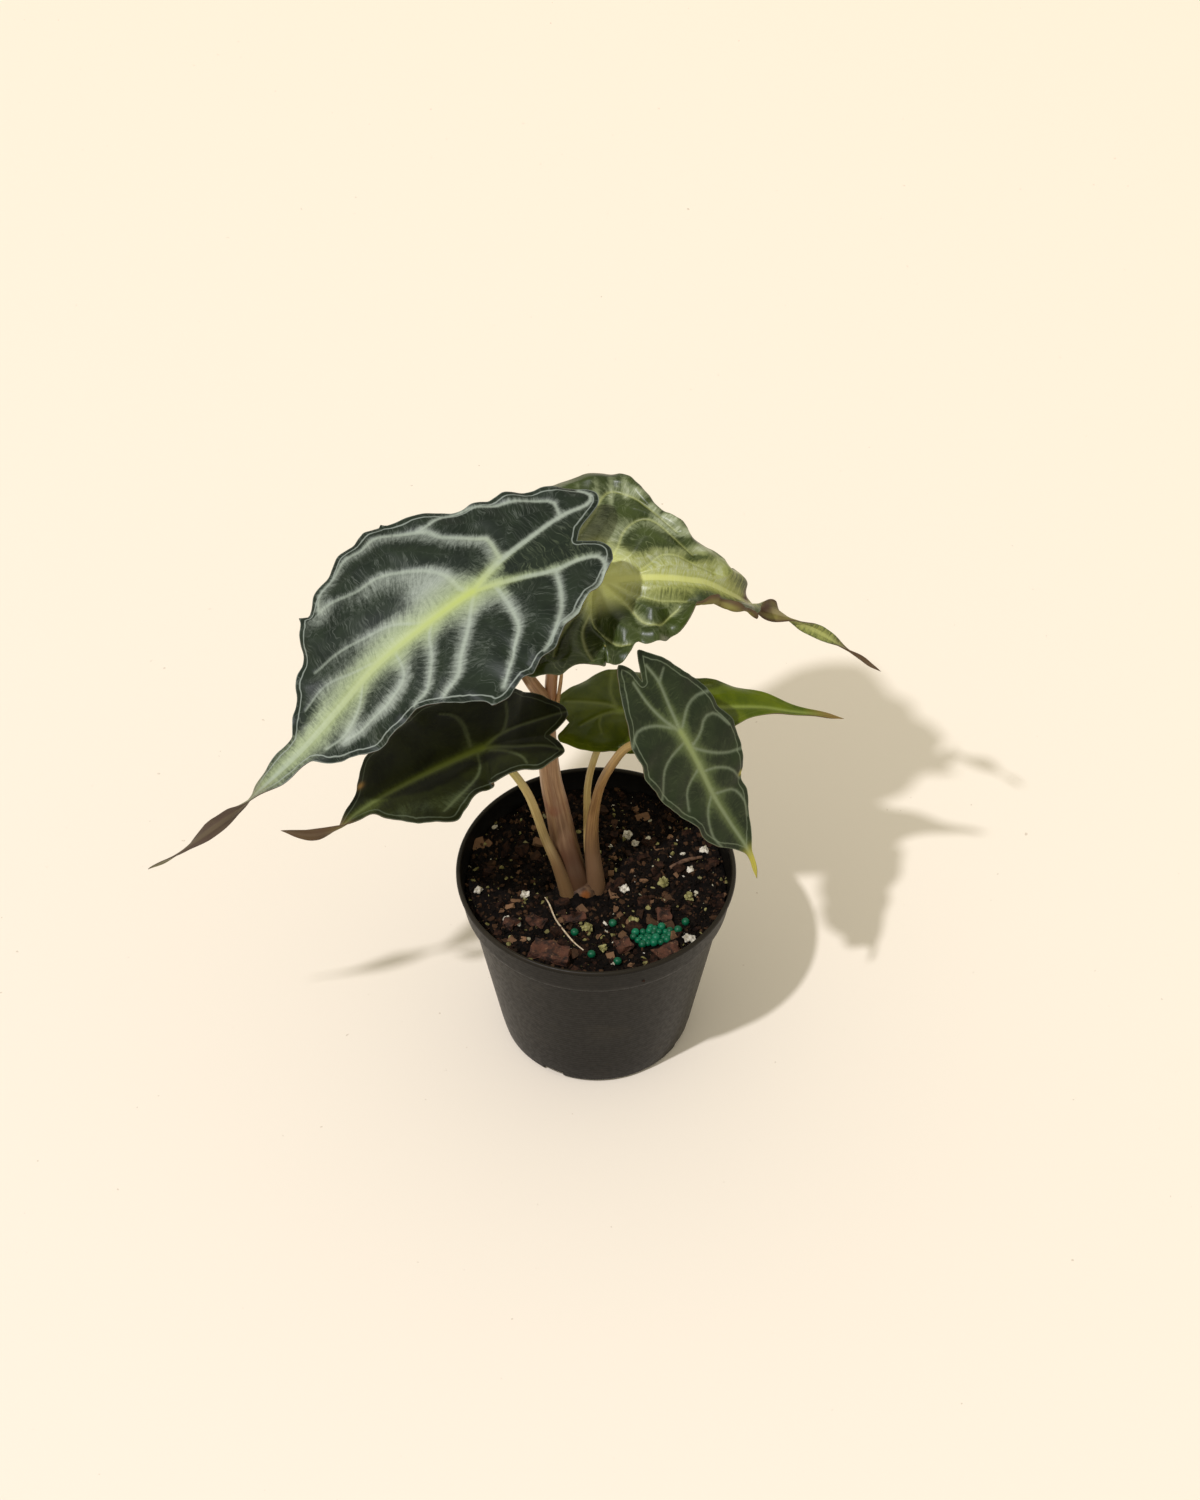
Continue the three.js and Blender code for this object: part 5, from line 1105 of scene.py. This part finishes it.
def prillFinish():
    material, tree, place = newFinish("green fertiliser prill", 0.4, 0.3)
    pale = between(tree, grain(tree, place, 700.0), 0.5, 0.75, 0.0, 0.25)
    colour = layered(tree, (0, 70, 42), (field(tree, "tone"), (0, 104, 70)), (pale, (60, 130, 100)))
    return finished(material, colour)


prills = {
    "radius": 1.8, "centre": (22.5, -29.7), "length": 16.5, "width": 11, "pitch": 2.5, "rowPitch": 0.87,
    "turn": 12, "jitter": 1.1,
    "singles": [(6.7, -23.5), (-8.6, -28.7), (-1.8, -40.1), (8.6, -42.4), (36.1, -23.1), (33, -27)],
}
ballTree, dice = prillTree(), random.Random(7)
ballValues = {"Radius": prills["radius"] * mm, "Finish": prillFinish()}
for i, (x, y) in enumerate(prills["singles"], 1):
    spot = newMesh("points", [(x, y, float(soilTop(x, y)) + 0.7 * prills["radius"])])
    mesh = growMesh(f"green_prill_{i}", spot, ballTree, ballValues)
    addPiece(f"green_prill_{i}", mesh, [f"prill_{i}"], "prill")
c, s = math.cos(math.radians(prills["turn"])), math.sin(math.radians(prills["turn"]))
heap, row, v = [], 0, -prills["width"] / 2
while v <= prills["width"] / 2:
    u = -prills["length"] / 2 + (row % 2) * 0.5 * prills["pitch"]
    while u <= prills["length"] / 2:
        out = math.hypot(u / prills["length"], v / prills["width"]) * 2
        if out <= 1:
            x = prills["centre"][0] + u * c - v * s + prills["jitter"] * (dice.random() - 0.5)
            y = prills["centre"][1] + u * s + v * c + prills["jitter"] * (dice.random() - 0.5)
            up = prills["radius"] * (0.5 + 0.7 * (1 - out) * dice.random())
            heap.append((x, y, float(soilTop(x, y)) + up))
        u += prills["pitch"]
    v += prills["pitch"] * prills["rowPitch"]
    row += 1
mesh = growMesh("green_prill_heap", newMesh("points", heap), ballTree, ballValues)
addPiece("green_prill_heap", mesh, ["prill_heap"], "prill")

# strands: x, y, height above the soil and radius
strandForm = {"sides": 12, "ridges": 2, "ridgeDepth": 0.04, "bumps": 0.4}
strands = {
    "twig": {"slot": "bark", "colours": ((58, 38, 28), (104, 78, 58)),
             "rows": [(30.3, 7.7, 1.0, 0.8), (36.5, 10.5, 1.3, 0.8), (43.6, 13.8, 1.2, 0.6)]},
    "root_fibre": {"slot": "fibre", "colours": ((158, 138, 108), (206, 190, 160)),
                   "rows": [(-20.8, -8.8, 1.4, 0.22), (-18.9, -15, 2.2, 0.32), (-16.4, -21.5, 1.4, 0.3),
                            (-12.2, -29.6, 2.3, 0.32), (-8.6, -34.8, 1.5, 0.3), (-5, -37.5, 1.4, 0.22)]},
}
for name, strand in strands.items():
    low, high = strand["colours"]
    finish = looseFinish(name + " finish", low, high, high, 500.0)
    rows = [(x, y, float(soilTop(x, y)) + up, radius) for x, y, up, radius in strand["rows"]]
    addPiece(name + "_strand", growTube(name, "_strand", rows, 0.6, strandForm, finish), [name],
             strand["slot"])

# crown: a lathe profile, with an orange-brown scar on its front
crown = {
    "profile": [(0, 59), (4, 59.5), (7.4, 65), (7.8, 73), (7.2, 79), (6.2, 82.5), (4, 84.6), (0, 85)],
    "turns": 40, "scar": (-4.4, -8.6, 82.2), "scarFrom": 1.0, "scarTo": 2.8, "scarColour": (118, 66, 20),
}
points, faces = lathe(crown["profile"], crown["turns"])
points[:, :2] += soil["centre"]
material, tree, place = newFinish("crown skin", 0.6, 0.2)
fibres = grain(tree, stretch(tree, place, (1, 1, 0.25)), 420.0, 4.0, 0.65)
away = vectorCalc(tree, "DISTANCE", {0: place, 1: tuple(v * mm for v in crown["scar"])}, 1)
scar = between(tree, away, crown["scarFrom"] * mm, crown["scarTo"] * mm, 0.85, 0.0)
colour = layered(tree, (54, 36, 24), (between(tree, fibres, 0.35, 0.68), (100, 76, 54)),
                 (scar, crown["scarColour"]))
addPiece("crown_foot", newMesh("crown_foot", points, faces), ["crown"], "crown",
         [finished(material, colour, fibres, 0.0005, 0.6)])
print("soil and loose pieces laid")
